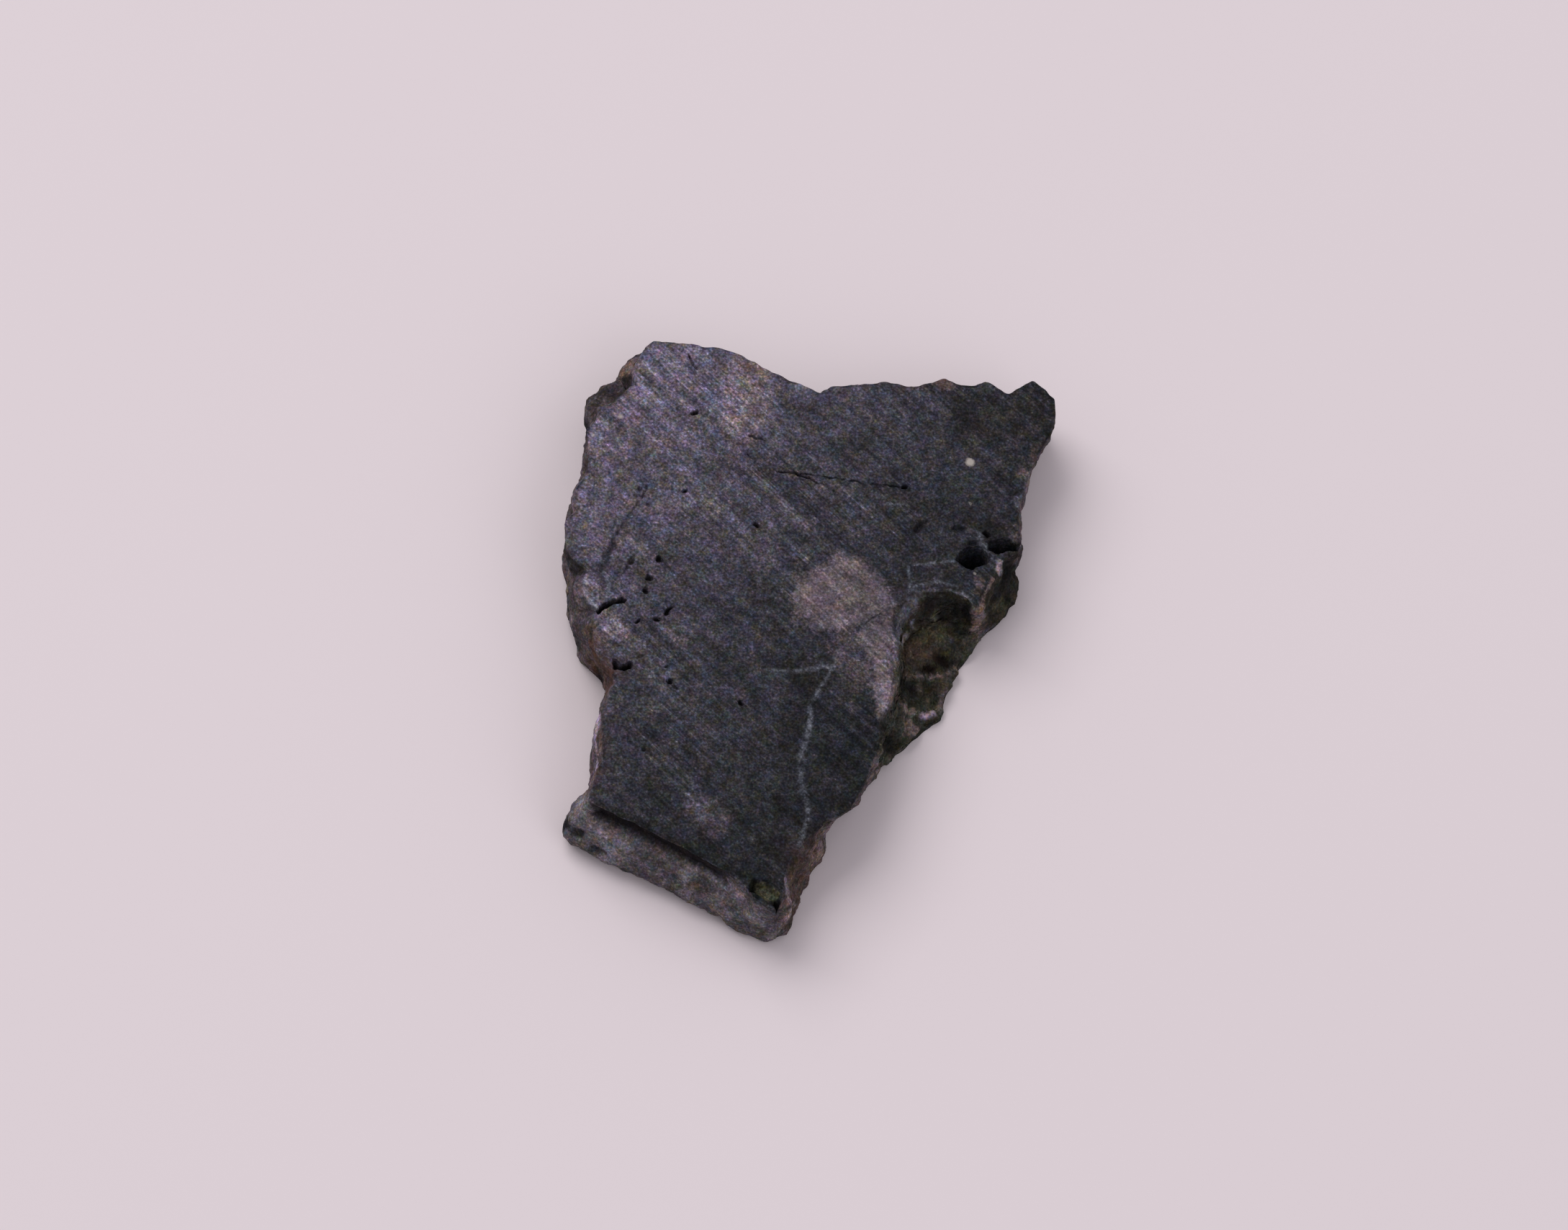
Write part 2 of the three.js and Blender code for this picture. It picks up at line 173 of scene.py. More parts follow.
def noise(points, size, seed):
    """Smooth lumps about size mm across, from -1 to 1, at each row of x, y, z: the random heights
    of the eight corners around the point, blended by ease along each axis."""
    place = points / size
    corner = np.floor(place).astype(np.int64)
    share = ease(place - corner)
    total = 0
    for step in itertools.product((0, 1), repeat=3):
        step = np.array(step)
        total = total + np.prod(np.where(step, share, 1 - share), axis=-1) * lattice(corner + step, seed)
    return total


FADE = 0.55                    # height of each finer layer of noise, as a share of the one before


def lumps(points, size, layers, seed):
    """Noise of size mm, plus noise half as wide and FADE times as high, and so on for each layer."""
    return sum(FADE ** n * noise(points, size / 2 ** n, seed + n) for n in range(layers))


def at_height(xy, z):
    """Rows of x, y with the height z added as a third number."""
    return np.column_stack([xy, np.full(len(xy), z)])


print("noise at the origin:", lumps(np.zeros((1, 3)), 0.3, 3, 1))

# %% [markdown]
# ## The wall as a grid
# An extruded outline with a bevel would fall away alike all round, and this edge doesn't. So the wall
# is a surface of two parameters: how far round the edge, and how far down the profile. The outline's
# points are joined by straight runs and sampled every few hundredths of a millimetre, and their
# reach and profile change evenly between two points.

# %% Walk round the outline
def spread(profile, rows):
    """Rows + 1 points at equal distances along a profile."""
    profile = np.array(profile, float)
    along = np.concatenate([[0], np.cumsum(np.hypot(*np.diff(profile, axis=0).T))])
    wanted = np.linspace(0, along[-1], rows + 1)
    return np.stack([np.interp(wanted, along, profile[:, axis]) for axis in (0, 1)])


def averaged(ring, times):
    """A closed ring of samples, each averaged 1-2-1 with its neighbours, so many times."""
    for _ in range(times):
        ring = (np.roll(ring, 1, axis=0) + 2 * ring + np.roll(ring, -1, axis=0)) / 4
    return ring


def stations():
    """One row for each outline point: x, y, reach in x and y, a 1 for its kind of wall, and its
    profile's shares outwards and downwards."""
    posts = []
    for kind, reach, rim in STRETCHES.values():
        flags = [float(kind == other) for other in KINDS]
        shares = spread(PROFILES[kind], WALL_ROWS).ravel()
        posts += [[*point[:2], *(point[2:] or reach), *flags, *shares] for point in rim]
    return np.array(posts)


def walk(posts, spacing):
    """The closed outline sampled at even distances of about the spacing: each sample is the mix of
    the two outline points that it lies between, and neighbours are averaged 1-2-1 twice."""
    closed = np.vstack([posts, posts[:1]])
    along = np.concatenate([[0], np.cumsum(np.hypot(*np.diff(closed[:, :2], axis=0).T))])
    wanted = np.arange(0, 1, 1 / round(along[-1] / spacing)) * along[-1]
    start = np.clip(np.searchsorted(along, wanted, side="right") - 1, 0, len(posts) - 1)
    share = ((wanted - along[start]) / (along[start + 1] - along[start]))[:, None]
    samples = closed[start] * (1 - share) + closed[start + 1] * share
    return averaged(samples, 2)


samples = walk(stations(), RIM_SPACING)
rim_xy, reach = samples[:, 0:2], samples[:, 2:4]
kind_share = dict(zip(KINDS, samples[:, 4:4 + len(KINDS)].T))
out_share, down_share = np.split(samples[:, 4 + len(KINDS):], 2, axis=1)
COLUMNS = len(samples)
WALL_POINTS = COLUMNS * (WALL_ROWS + 1)
print("wall grid:", COLUMNS, "columns by", WALL_ROWS + 1, "rows")

# %% Carry the profile round the outline
def smooth_wall():
    """The wall before it is roughened: outline + reach × share outwards, at a height of thickness ×
    (1 - share downwards), plus the mean of the solid's slow waves, pushed outwards at half height."""
    xy = rim_xy[:, None, :] + reach[:, None, :] * out_share[..., None]
    z = THICKNESS * (1 - down_share)
    x, y = xy[..., 0], xy[..., 1]
    wave = sum(np.sin(by_x * x + by_y * y + by_z * z + start) for by_x, by_y, by_z, start in WAVES)
    along = np.roll(rim_xy, -1, axis=0) - np.roll(rim_xy, 1, axis=0)
    along /= np.linalg.norm(along, axis=1, keepdims=True)
    outward = np.stack([-along[:, 1], along[:, 0]], axis=1)
    bulge = ROUGHNESS * wave / len(WAVES) * np.sin(np.pi * np.arange(WALL_ROWS + 1) / WALL_ROWS)
    return np.dstack([xy + outward[:, None, :] * bulge[..., None], z])


wall = smooth_wall()
unbroken = (wall.min(axis=(0, 1)) + wall.max(axis=(0, 1)))[:2] / 2      # the middle of its box
print("wall before roughening, mm:", wall.min(axis=(0, 1)).round(3), wall.max(axis=(0, 1)).round(3))

# %% [markdown]
# ## How far away is it?
# Most of what follows asks one thing: how far is a point from a chain of straight runs? A vein is a
# chain, and so is a crack, a patch of colour or the outline of a hole, and a distance is enough to
# draw each of them, soft or sharp. Blender can measure to a mesh, but only from one point at a time.
# A chain has few runs, so here whole arrays of points are measured at once.

# %% Distance to a chain of runs
def nearest_side(points, start, end):
    """For each point, the distance to its nearest straight run, which run that is, and the share of
    the run at the nearest place."""
    run = end - start
    offset = points[:, None, :] - start
    share = np.clip((offset * run).sum(axis=-1) / (run ** 2).sum(axis=-1), 0, 1)
    gap = np.linalg.norm(offset - share[..., None] * run, axis=-1)
    side = gap.argmin(axis=1)
    row = np.arange(len(points))
    return gap[row, side], side, share[row, side]


CENTRE, SQUARE = np.zeros((1, 2)), np.array([(-1, -1), (1, -1), (1, 1), (-1, 1)])
print("from a 2 mm square's centre to its sides, mm:", nearest_side(CENTRE, SQUARE[:-1], SQUARE[1:])[0])

# %% [markdown]
# ## Landmarks
# Noise gives a break its grain but not its landmarks: the black hollows of the shell break and the
# pale ledge below them, the pink facet of the lobe, the dark slit above the lip. Each one is a route
# of points with a half width. Near it the skin takes the group's colour, and the groups that are
# hollow or proud also move it along its own normal. The black of the hollows and the dark bands
# along the slit, rims and grooves are painted shadow. Later groups lie over earlier ones. A point
# without a height lies on the upper sawn face.

# %% Patches: colour, push outwards in mm, then half width, strength and route of x, y and height
PATCHES = {
    "pale crushed feldspar": ("#857980", 0, [
        (0.34, 0.5, [(-0.8, 4.3), (-0.85, 3.6), (-0.95, 3.25)]),
        (0.25, 0.18, [(0.44, -0.3), (0.5, -0.7)]),
        (0.2, 0.16, [(-1.73, -2.82), (-1.5, -3.05)]),
        (0.1, 0.15, [(2.9, 1.64), (2.93, 1.5, 1.0)]),
        (0.13, 0.3, [(-2.95, 0.08), (-2.75, -0.2), (-3.0, -0.2)]),
        (0.12, 0.25, [(-3.33, 0.65, 0.97), (-3.3, 0.4, 0.95)]),
        (0.1, 0.4, [(-3.01, -3.06, 0.54), (-2.71, -3.13, 0.73)]),
        (0.09, 0.4, [(-1.31, -3.87, 0.88), (-1.15, -3.98, 0.78)]),
        (0.09, 0.25, [(-1.12, -4.06, 0.68), (-0.85, -4.32, 0.55)]),
        (0.08, 0.6, [(-0.55, -3.88, 1.0), (-0.51, -4.01, 0.91), (-0.5, -4.11, 0.83)]),
        (0.25, 0.4, [(-3.05, -1.3, 0.4), (-3.08, -1.9, 0.4), (-3.1, -2.3, 0.5)])]),
    "blue-grey glass": ("#686d7b", 0, [
        (0.1, 0.6, [(1.38, 0.46, 0.97), (1.3, 0.36, 0.93)]),
        (0.1, 0.4, [(1.3, 0.36, 0.93), (1.22, 0.17, 0.95), (1.14, -0.08, 0.92)]),
        (0.08, 0.2, [(1.1, -0.25, 0.98), (1.05, -0.5, 1.0)]),
        (0.06, 0.7, [(-1.6, -3.66, 0.77), (-1.46, -3.75, 0.77)]),
        (0.06, 0.2, [(2.49, 0.44, 0.2), (2.67, 0.6, 0.15)]),
        (0.05, 0.3, [(1.95, 0.3, 0.33), (2.03, 0.26, 0.29)]),
        (0.05, 0.4, [(2.97, 2.2), (2.93, 2.07, 1.0)])]),
    "glass rim": ("#84868a", 0, [
        (0.026, 0.9, [(1.45, 0.38, 0.66), (1.44, 0.34, 0.58), (1.36, 0.2, 0.5), (1.3, 0.08, 0.48),
                      (1.2, -0.15, 0.75), (1.13, -0.36, 0.9), (1.07, -0.6, 0.98)]),
        (0.024, 0.3, [(1.5, 0.62, 1.03), (1.7, 0.69, 1.04), (1.95, 0.66, 1.03), (2.1, 0.61, 1.04),
                      (2.2, 0.51, 1.04), (2.27, 0.43, 0.98)])]),
    "olive glass": ("#474736", 0, [
        (0.13, 0.8, [(1.6, 0.2, 0.42), (1.75, 0.3, 0.4), (1.93, 0.34, 0.36)]),
        (0.03, 0.8, [(1.89, 0.08, 0.27), (2.11, 0.1, 0.19)]),
        (0.1, 0.25, [(1.37, -0.71, 0.36), (1.67, -0.69, 0.23)]),
        (0.09, 0.6, [(2.84, 0.82, 0.25), (2.72, 0.8, 0.45), (2.66, 0.74, 0.5)]),
        (0.06, 0.7, [(-0.41, -3.52, 0.97), (-0.42, -3.65, 0.89)]),
        (0.12, 0.85, [(-0.95, -4.0, 0.92), (-0.8, -4.08, 0.91)]),
        (0.12, 0.3, [(2.56, 3.51), (2.9, 3.43)])]),
    "brown matrix": ("#4b3f36", 0, [
        (0.12, 0.6, [(1.38, -0.11, 0.46), (1.45, 0.03, 0.4), (1.72, 0.06, 0.29)]),
        (0.06, 0.6, [(1.13, -0.8, 0.72), (1.18, -0.92, 0.49)]),
        (0.08, 0.6, [(-1.73, -3.74, 0.53), (-1.57, -3.83, 0.53)]),
        (0.06, 0.4, [(2.32, 0.63), (2.3, 0.68)]),
        (0.07, 0.5, [(3.24, 2.97), (3.21, 2.83)]),
        (0.13, 0.8, [(-3.12, -0.12, 0.98), (-3.09, -0.4, 0.92), (-2.97, -0.55, 0.7), (-2.88, -0.76, 0.85)]),
        (0.2, 0.5, [(-3.15, -0.3, 0.4), (-2.95, -0.6, 0.35), (-2.85, -0.9, 0.4)])]),
    "dark matrix": ("#1d1c19", 0, [
        (0.42, 0.45, [(3.3, 3.6), (2.9, 3.5), (2.45, 3.45)]),
        (0.2, 0.3, [(2.1, 3.8), (2.3, 3.3)]),
        (0.15, 0.3, [(1.3, 2.15), (1.9, 1.9), (2.5, 1.75)]),
        (0.12, 0.6, [(2.42, 1.62), (2.74, 1.62)]),
        (0.12, 0.7, [(2.88, 1.32, 1.0), (2.82, 1.22, 1.03), (2.76, 1.08, 0.9)]),
        (0.2, 0.6, [(-0.3, -0.6), (-0.1, -0.8)]),
        (0.1, 0.35, [(-2.2, -3.5, 0.55), (-1.95, -3.62, 0.5)]),
        (0.1, 0.6, [(-0.38, -3.55, 1.0), (-0.42, -3.66, 0.95)])]),
    "pink crushed grain": ("#857471", 0.012, [
        (0.04, 0.45, [(1.3, -0.4, 0.5), (1.4, -0.31, 0.29), (1.55, -0.3, 0.26)]),
        (0.04, 0.8, [(1.6, -0.3, 0.24), (1.81, -0.26, 0.16), (1.99, -0.19, 0.16), (2.14, -0.1, 0.12)]),
        (0.06, 0.25, [(1.98, -0.29, 0.19), (1.9, -0.52, 0.2), (1.88, -0.71, 0.13)]),
        (0.07, 0.65, [(1.36, -0.86, 0.38), (1.47, -0.89, 0.31)]),
        (0.09, 0.5, [(1.4, -1.08, 0.27), (1.54, -1.14, 0.18)]),
        (0.075, 0.5, [(2.33, 0.44, 0.95), (2.37, 0.42, 0.7), (2.38, 0.4, 0.4)]),
        (0.035, 0.45, [(2.51, 0.88, 1.04), (2.46, 0.72, 1.01), (2.38, 0.56, 1.01)]),
        (0.05, 0.3, [(2.31, 0.88), (2.35, 0.78)]),
        (0.07, 0.6, [(0.02, -3.12, 0.65), (0.05, -3.17, 0.35), (-0.07, -3.29, 0.43)]),
        (0.06, 0.5, [(0.94, -1.75, 0.12), (0.76, -2.08, 0.53)]),
        (0.08, 0.25, [(3.03, 2.55), (3.11, 2.51, 1.0)]),
        (0.08, 0.4, [(1.85, 3.98, 1.03), (2.02, 3.89)]),
        (0.09, 0.55, [(-0.48, -4.22, 0.7), (-0.46, -4.1, 0.4)]),
        (0.13, 0.7, [(-2.44, 4.13, 0.85), (-2.52, 4.05, 0.65)])]),
    "lilac feldspar": ("#a092a2", 0, [
        (0.1, 0.28, [(1.05, -0.1, 1.03), (1.01, -0.5, 1.0), (0.98, -0.9, 0.98), (0.93, -1.15, 1.0)]),
        (0.1, 0.16, [(-3.1, 0.55), (-3.07, 0.34)]),
        (0.045, 0.6, [(2.64, 1.15), (2.63, 1.0, 1.01)]),
        (0.045, 0.85, [(1.6, -0.9, 0.22), (1.68, -0.87, 0.18), (1.77, -0.82, 0.16)]),
        (0.022, 0.5, [(-3.18, 0.7, 1.04), (-3.24, 0.52, 1.02), (-3.22, 0.37, 1.02), (-3.14, 0.22, 1.04)]),
        (0.03, 0.5, [(1.6, -0.35, 0.33), (1.62, -0.36, 0.33)]),
        (0.1, 0.9, [(-3.03, -1.45, 0.75), (-3.06, -1.8, 0.6), (-3.09, -2.15, 0.55)]),
        (0.03, 0.5, [(-2.96, -0.14), (-2.94, -0.12)])]),
    # Painted shadow: dark colour laid on walls under rims, in grooves and along the lip's rim, where shade
    # falls.
    "painted shadow": ("#1a1b1b", 0, [
        (0.13, 0.75, [(1.62, 0.56, 0.9), (1.83, 0.59, 0.83), (2.04, 0.56, 0.8), (2.2, 0.52, 0.78)]),
        (0.13, 0.8, [(2.2, 0.48, 0.82), (2.23, 0.47, 0.6), (1.92, 0.52, 0.58)]),
        (0.1, 0.65, [(1.66, 0.48, 0.8), (1.6, 0.38, 0.6), (1.76, 0.42, 0.48)]),
        (0.05, 0.5, [(1.98, 0.2, 0.23), (2.18, 0.22, 0.28)]),
        (0.09, 0.75, [(1.17, -0.58, 0.75), (1.34, -0.5, 0.36), (1.5, -0.46, 0.2)]),
        (0.13, 0.75, [(0.9, -1.48, 0.97), (1.04, -1.42, 0.4), (1.16, -1.4, 0.18)]),
        (0.19, 0.9, [(2.8, 1.15, 0.8), (2.74, 0.98, 0.7), (2.64, 0.84, 0.7)]),
        (0.07, 0.6, [(2.6, 0.66, 0.5), (2.6, 0.55, 0.38)]),
        (0.2, 0.6, [(3.0, 1.6, 0.6), (2.95, 1.35, 0.6), (2.9, 1.12, 0.5)]),
        (0.03, 0.5, [(2.29, 0.53), (2.27, 0.55)]),
        (0.16, 0.75, [(1.3, -0.62, 0.4), (1.48, -0.64, 0.25)]),
        (0.15, 0.8, [(-3.42, 1.42, 0.35), (-3.42, 1.17, 0.74), (-3.37, 0.97, 0.84), (-3.3, 0.8, 0.95)]),
        (0.1, 0.75, [(-3.29, 2.1, 0.8), (-3.28, 1.9, 0.8)]),
        (0.05, 0.6, [(-3.34, 0.81, 0.1), (-3.4, 0.6, 0.35), (-3.39, 0.43, 0.45)]),
        (0.07, 0.85, [(-2.56, 3.95, 0.65), (-2.49, 3.9, 0.85)]),
        (0.09, 0.6, [(-2.84, 3.73, 0.72), (-2.69, 3.61, 0.93)]),
        (0.06, 0.3, [(-3.0, 3.5, 0.74), (-2.98, 3.33, 0.85)]),
        (0.09, 0.7, [(-3.06, 3.34, 0.5), (-3.03, 3.26, 0.29)]),
        (0.05, 0.75, [(-3.14, 3.05), (-3.15, 2.8, 1.0)]),
        (0.08, 0.85, [(-3.0, -0.42, 0.28), (-2.92, -0.46, 0.09)]),
        (0.06, 0.5, [(-2.87, 3.6, 0.8), (-2.8, 3.5, 0.9)]),
        (0.025, 0.7, [(-3.14, -0.13, 1.01), (-3.15, -0.28, 1.0), (-3.14, -0.42, 0.95)]),
        (0.05, 0.5, [(-3.25, 0.0, 0.24), (-3.17, -0.2, 0.29)]),
        (0.05, 0.5, [(-2.83, 1.15), (-2.9, 1.0), (-2.98, 0.83)]),
        (0.05, 0.4, [(-2.42, 2.04), (-2.36, 1.92), (-2.31, 1.82)]),
        (0.09, 0.55, [(-3.1, -2.85), (-2.5, -3.14), (-1.8, -3.52), (-1.3, -3.78)]),
        (0.06, 0.6, [(-2.75, -3.0), (-2.5, -3.12)]),
        (0.1, 0.7, [(-0.12, -3.1), (-0.2, -3.25, 0.92)])]),
    # Painted shadow: these hollows are pushed in, and their near-black colour stands for the shade inside
    # them.
    "hollow in painted shadow": ("#0d0d0d", -0.045, [
        (0.065, 0.85, [(1.85, -0.01, 0.21), (2.04, -0.03, 0.17)]),
        (0.06, 0.95, [(1.64, -0.2, 0.26), (1.78, -0.15, 0.18)]),
        (0.06, 0.5, [(1.45, -0.48, 0.26), (1.52, -0.47, 0.22)]),
        (0.08, 0.8, [(-3.36, -2.96, 0.4), (-3.27, -3.03, 0.47)]),
        (0.05, 0.7, [(-3.1, -3.2, 0.36), (-2.97, -3.24, 0.37)]),
        (0.11, 0.85, [(-3.5, -2.83, 0.39), (-3.48, -2.83, 0.3)]),
        (0.05, 0.6, [(0.1, -2.94, 0.95), (0.04, -3.03, 0.89)]),
        (0.03, 0.7, [(-0.05, -3.21, 0.68), (-0.06, -3.22, 0.66)])]),
}

NEAR = 1.2                     # mm from a route's middle, past which its patch never reaches
MOST_BEND = 0.05               # mm by which noise bends a patch's outline


def patch_shares(points):
    """For each patch in turn: its colour, push and share, which is its strength near its route and
    falls to 0 by ease between 0.6 and 1.4 half widths. Noise bends the distance, for torn outlines."""
    bend = np.stack([lumps(points, 0.17, 3, seed) for seed in (201, 211, 221)], axis=1)
    for colour, push, routes in PATCHES.values():
        for half, strength, route in routes:
            route = np.array([(*point, THICKNESS)[:3] for point in route])
            near = np.where(np.abs(points - route.mean(axis=0)).max(axis=1) < NEAR)[0]
            bent = points[near] + min(0.5 * half, MOST_BEND) * bend[near]
            gap = nearest_side(bent, route[:-1], route[1:])[0]
            share = np.zeros(len(points))
            share[near] = strength * ease((1.4 - gap / half) / 0.8)
            yield colour, push, share


print(sum(len(routes) for _, _, routes in PATCHES.values()), "landmarks in", len(PATCHES), "groups")

# %% [markdown]
# ## Roughening the wall
# A break through breccia is lumpy at every scale, because it runs round the grains. The glassy shell
# break has curved ledges as well, like the steps in a broken bottle, and the weathered shoulder is
# worn smooth. Each grid point moves along the wall's own normal by the sum of those lumps. At the
# two sawn faces it only moves sideways, so that the faces stay flat and the edge gets its fine teeth.

# %% Ledges and lumps
ROUGH = {"wall": 0.04, "shoulder": 0.032, "lobe": 0.05, "scoop": 0.06, "leg": 0.055, "lip": 0.042,
         "chip": 0.045}
LUMP, CREST, CRUMB, TOOTH = 0.3, 0.34, 0.08, 0.12       # mm across
LEDGE = 0.15                   # height of one ledge in the shell break
TEETH = 0.011                  # how far the edge's fine teeth stand out
SLIT = 0.09                    # depth of the slit between the lip and the sawn face
FACE_BAND = 0.1                # mm from a sawn face, within which the lumps fade out


def stepped(height, step):
    """A staircase with worn edges: whole steps, plus ease over the middle half of each step."""
    level = height / step
    return step * (np.floor(level) + ease((level % 1 - 0.25) * 2))


def normals(grid):
    """Outward normals of the closed grid: the direction round the edge × the direction down."""
    around = np.roll(grid, -1, axis=0) - np.roll(grid, 1, axis=0)
    down = np.gradient(grid, axis=1)
    cross = np.cross(around, down)
    return cross / np.maximum(np.linalg.norm(cross, axis=-1, keepdims=True), 1e-9)


def ridges(points, size, layers, seed):
    """Hollows size mm wide with sharp crests between them, as stone breaks: 1 - 2 × |noise| in
    layers, each half as wide and FADE times as high."""
    return sum(FADE ** n * (1 - 2 * np.abs(noise(points, size / 2 ** n, seed + n)))
               for n in range(layers))


def slit():
    """How much of the slit under the sawn face each wall point lies in: only above the lip, from the
    sawn face to three tenths of the way down, and ending softly to the left and right."""
    inside = ease(down_share / 0.05) * ease((0.3 - down_share) / 0.08)
    end = ease((-1.15 - rim_xy[:, 0]) / 0.4) * ease((rim_xy[:, 0] + 3.25) / 0.2)
    return inside * (kind_share["lip"] * end)[:, None]


def roughened(grid):
    """The wall with its ledges, lumps and landmarks, which fade out towards the two faces, and its
    teeth, which don't. Also how far each point was moved, in heights of its lumps."""
    middle = ease(np.minimum(THICKNESS - grid[..., 2], grid[..., 2] + 0.02) / FACE_BAND)
    warped = grid[..., 2] + 0.12 * lumps(grid, 0.45, 2, 11)
    ledges = (stepped(warped, LEDGE) - warped) * kind_share["scoop"][:, None] * middle
    grid = grid + np.dstack([ledges * 0, ledges * 0, ledges])
    height = sum(ROUGH[kind] * kind_share[kind] for kind in KINDS)[:, None]
    coarse = (0.6 * lumps(grid, LUMP, 2, 21) + 0.55 * ridges(grid, CREST, 3, 26)) * height
    fine = lumps(grid, CRUMB, 2, 31) * height * 0.35
    teeth = lumps(grid, TOOTH, 2, 41) * TEETH
    marks = sum(push * share for _, push, share in patch_shares(grid.reshape(-1, 3)) if push)
    moved = (coarse + fine + marks.reshape(middle.shape)) * middle - SLIT * slit()
    push = normals(grid) * (moved + teeth)[..., None]
    push[..., 2] *= middle
    grid = grid + push
    grid[:, 0, 2], grid[:, -1, 2] = THICKNESS, 0
    grid[:, -1] = averaged(grid[:, -1], 4)      # or the foot's line would cross itself in a nook
    grid[..., 2] = np.clip(grid[..., 2], 0, THICKNESS)
    return grid, moved / height


wall, relief = roughened(wall)
print("wall after roughening, mm:", wall.min(axis=(0, 1)).round(3), wall.max(axis=(0, 1)).round(3))

# %% [markdown]
# ## Marks in the sawn faces
# The upper face was cut flat, and what breaks it is small: two deep holes near the right edge, a
# pocket behind the lip, gas bubbles cut open as round pits, cracks that opened as the rock was
# shocked, and the saw's own fine grooves. They could be cut with booleans, as in the solid. Here the
# face is a height map, because a depth that is worked out for each point gives sloping, crumbly
# sides. Two measures serve them all: the distance to a closed outline, and the distance to a route.

# %% Distances
def within(points, outline):
    """How far inside a closed outline each point lies, in mm, and minus the distance outside it. A
    point is inside if a ray to its right crosses the outline an odd number of times."""
    start = np.asarray(outline, float)
    end = np.roll(start, -1, axis=0)
    gap = nearest_side(points, start, end)[0]
    x, y = points[:, None, 0], points[:, None, 1]
    crosses = (start[:, 1] > y) != (end[:, 1] > y)
    rise = np.where(end[:, 1] == start[:, 1], 1, end[:, 1] - start[:, 1])
    meets = start[:, 0] + (y - start[:, 1]) * (end[:, 0] - start[:, 0]) / rise
    inside = (crosses & (x < meets)).sum(axis=1) % 2 == 1
    return np.where(inside, gap, -gap)


def from_route(points, route):
    """The distance of each point to a route of x, y and half width, divided by the half width at
    its nearest place: 0 on the route and 1 at its edge."""
    route = np.asarray(route, float)
    gap, side, share = nearest_side(points, route[:-1, :2], route[1:, :2])
    half = route[side, 2] * (1 - share) + route[side + 1, 2] * share
    return gap / half


def from_ellipse(points, x, y, half_length, half_width, turn):
    """0 at an ellipse's middle and 1 on its edge, for an ellipse turned by so many degrees."""
    angle = math.radians(turn)
    dx, dy = points[:, 0] - x, points[:, 1] - y
    long_way = (dx * math.cos(angle) + dy * math.sin(angle)) / half_length
    cross_way = (dy * math.cos(angle) - dx * math.sin(angle)) / half_width
    return np.hypot(long_way, cross_way)


print("its centre lies", within(CENTRE, SQUARE), "mm inside the square")

# %% Holes, pits and cracks
# Hollows: depth, width of the sloping side, painted shade inside, outline.
HOLLOWS = {
    "deep hole": (0.6, 0.1, 0.1, [
        (2.0, 1.16), (2.08, 1.3), (2.2, 1.38), (2.44, 1.38), (2.54, 1.22), (2.45, 1.07), (2.24, 1.01),
        (2.1, 1.06)]),
    "above the deep hole": (0.1, 0.12, 0.35, [
        (2.14, 1.35), (2.24, 1.52), (2.36, 1.5), (2.4, 1.36)]),
    "side hole": (0.36, 0.1, 0.1, [
        (2.47, 1.46), (2.62, 1.53), (2.8, 1.5), (2.97, 1.43), (2.98, 1.35), (2.75, 1.31), (2.62, 1.24),
        (2.49, 1.3)]),
    "above the side hole": (0.1, 0.06, 0.9, [
        (2.38, 1.6), (2.46, 1.66), (2.56, 1.54), (2.47, 1.5)]),
    "lip pocket": (0.12, 0.12, 0.0, [
        (-1.09, -4.06), (-1.02, -3.86), (-0.74, -3.84), (-0.6, -4.08), (-0.64, -4.3), (-0.78, -4.22),
        (-0.92, -4.14)]),
    "its left end": (0.2, 0.08, 0.75, [(-1.08, -4.08), (-1.03, -3.86), (-0.92, -3.88), (-0.94, -4.12)]),
    "its right end": (0.28, 0.06, 1.0, [
        (-0.79, -4.2), (-0.7, -4.12), (-0.61, -4.2), (-0.62, -4.34), (-0.69, -4.34)]),
    "shallow hollow": (0.07, 0.08, 0.6, [
        (1.39, 1.56), (1.47, 1.72), (1.66, 1.78), (1.62, 1.62), (1.5, 1.54)]),
    "hollow by the holes": (0.06, 0.08, 0.6, [(1.95, 1.62), (2.0, 1.72), (2.22, 1.66), (2.15, 1.56)]),
    "left slot": (0.14, 0.04, 0.9, [
        (-3.09, 0.13), (-3.0, 0.23), (-2.89, 0.29), (-2.8, 0.34), (-2.7, 0.345), (-2.65, 0.3),
        (-2.7, 0.245), (-2.8, 0.235), (-2.89, 0.185), (-2.98, 0.12), (-3.05, 0.06)]),
    "left pit": (0.2, 0.05, 0.8, [
        (-2.88, -0.6), (-2.8, -0.6), (-2.74, -0.68), (-2.56, -0.63), (-2.6, -0.76), (-2.72, -0.8),
        (-2.86, -0.76)]),
}

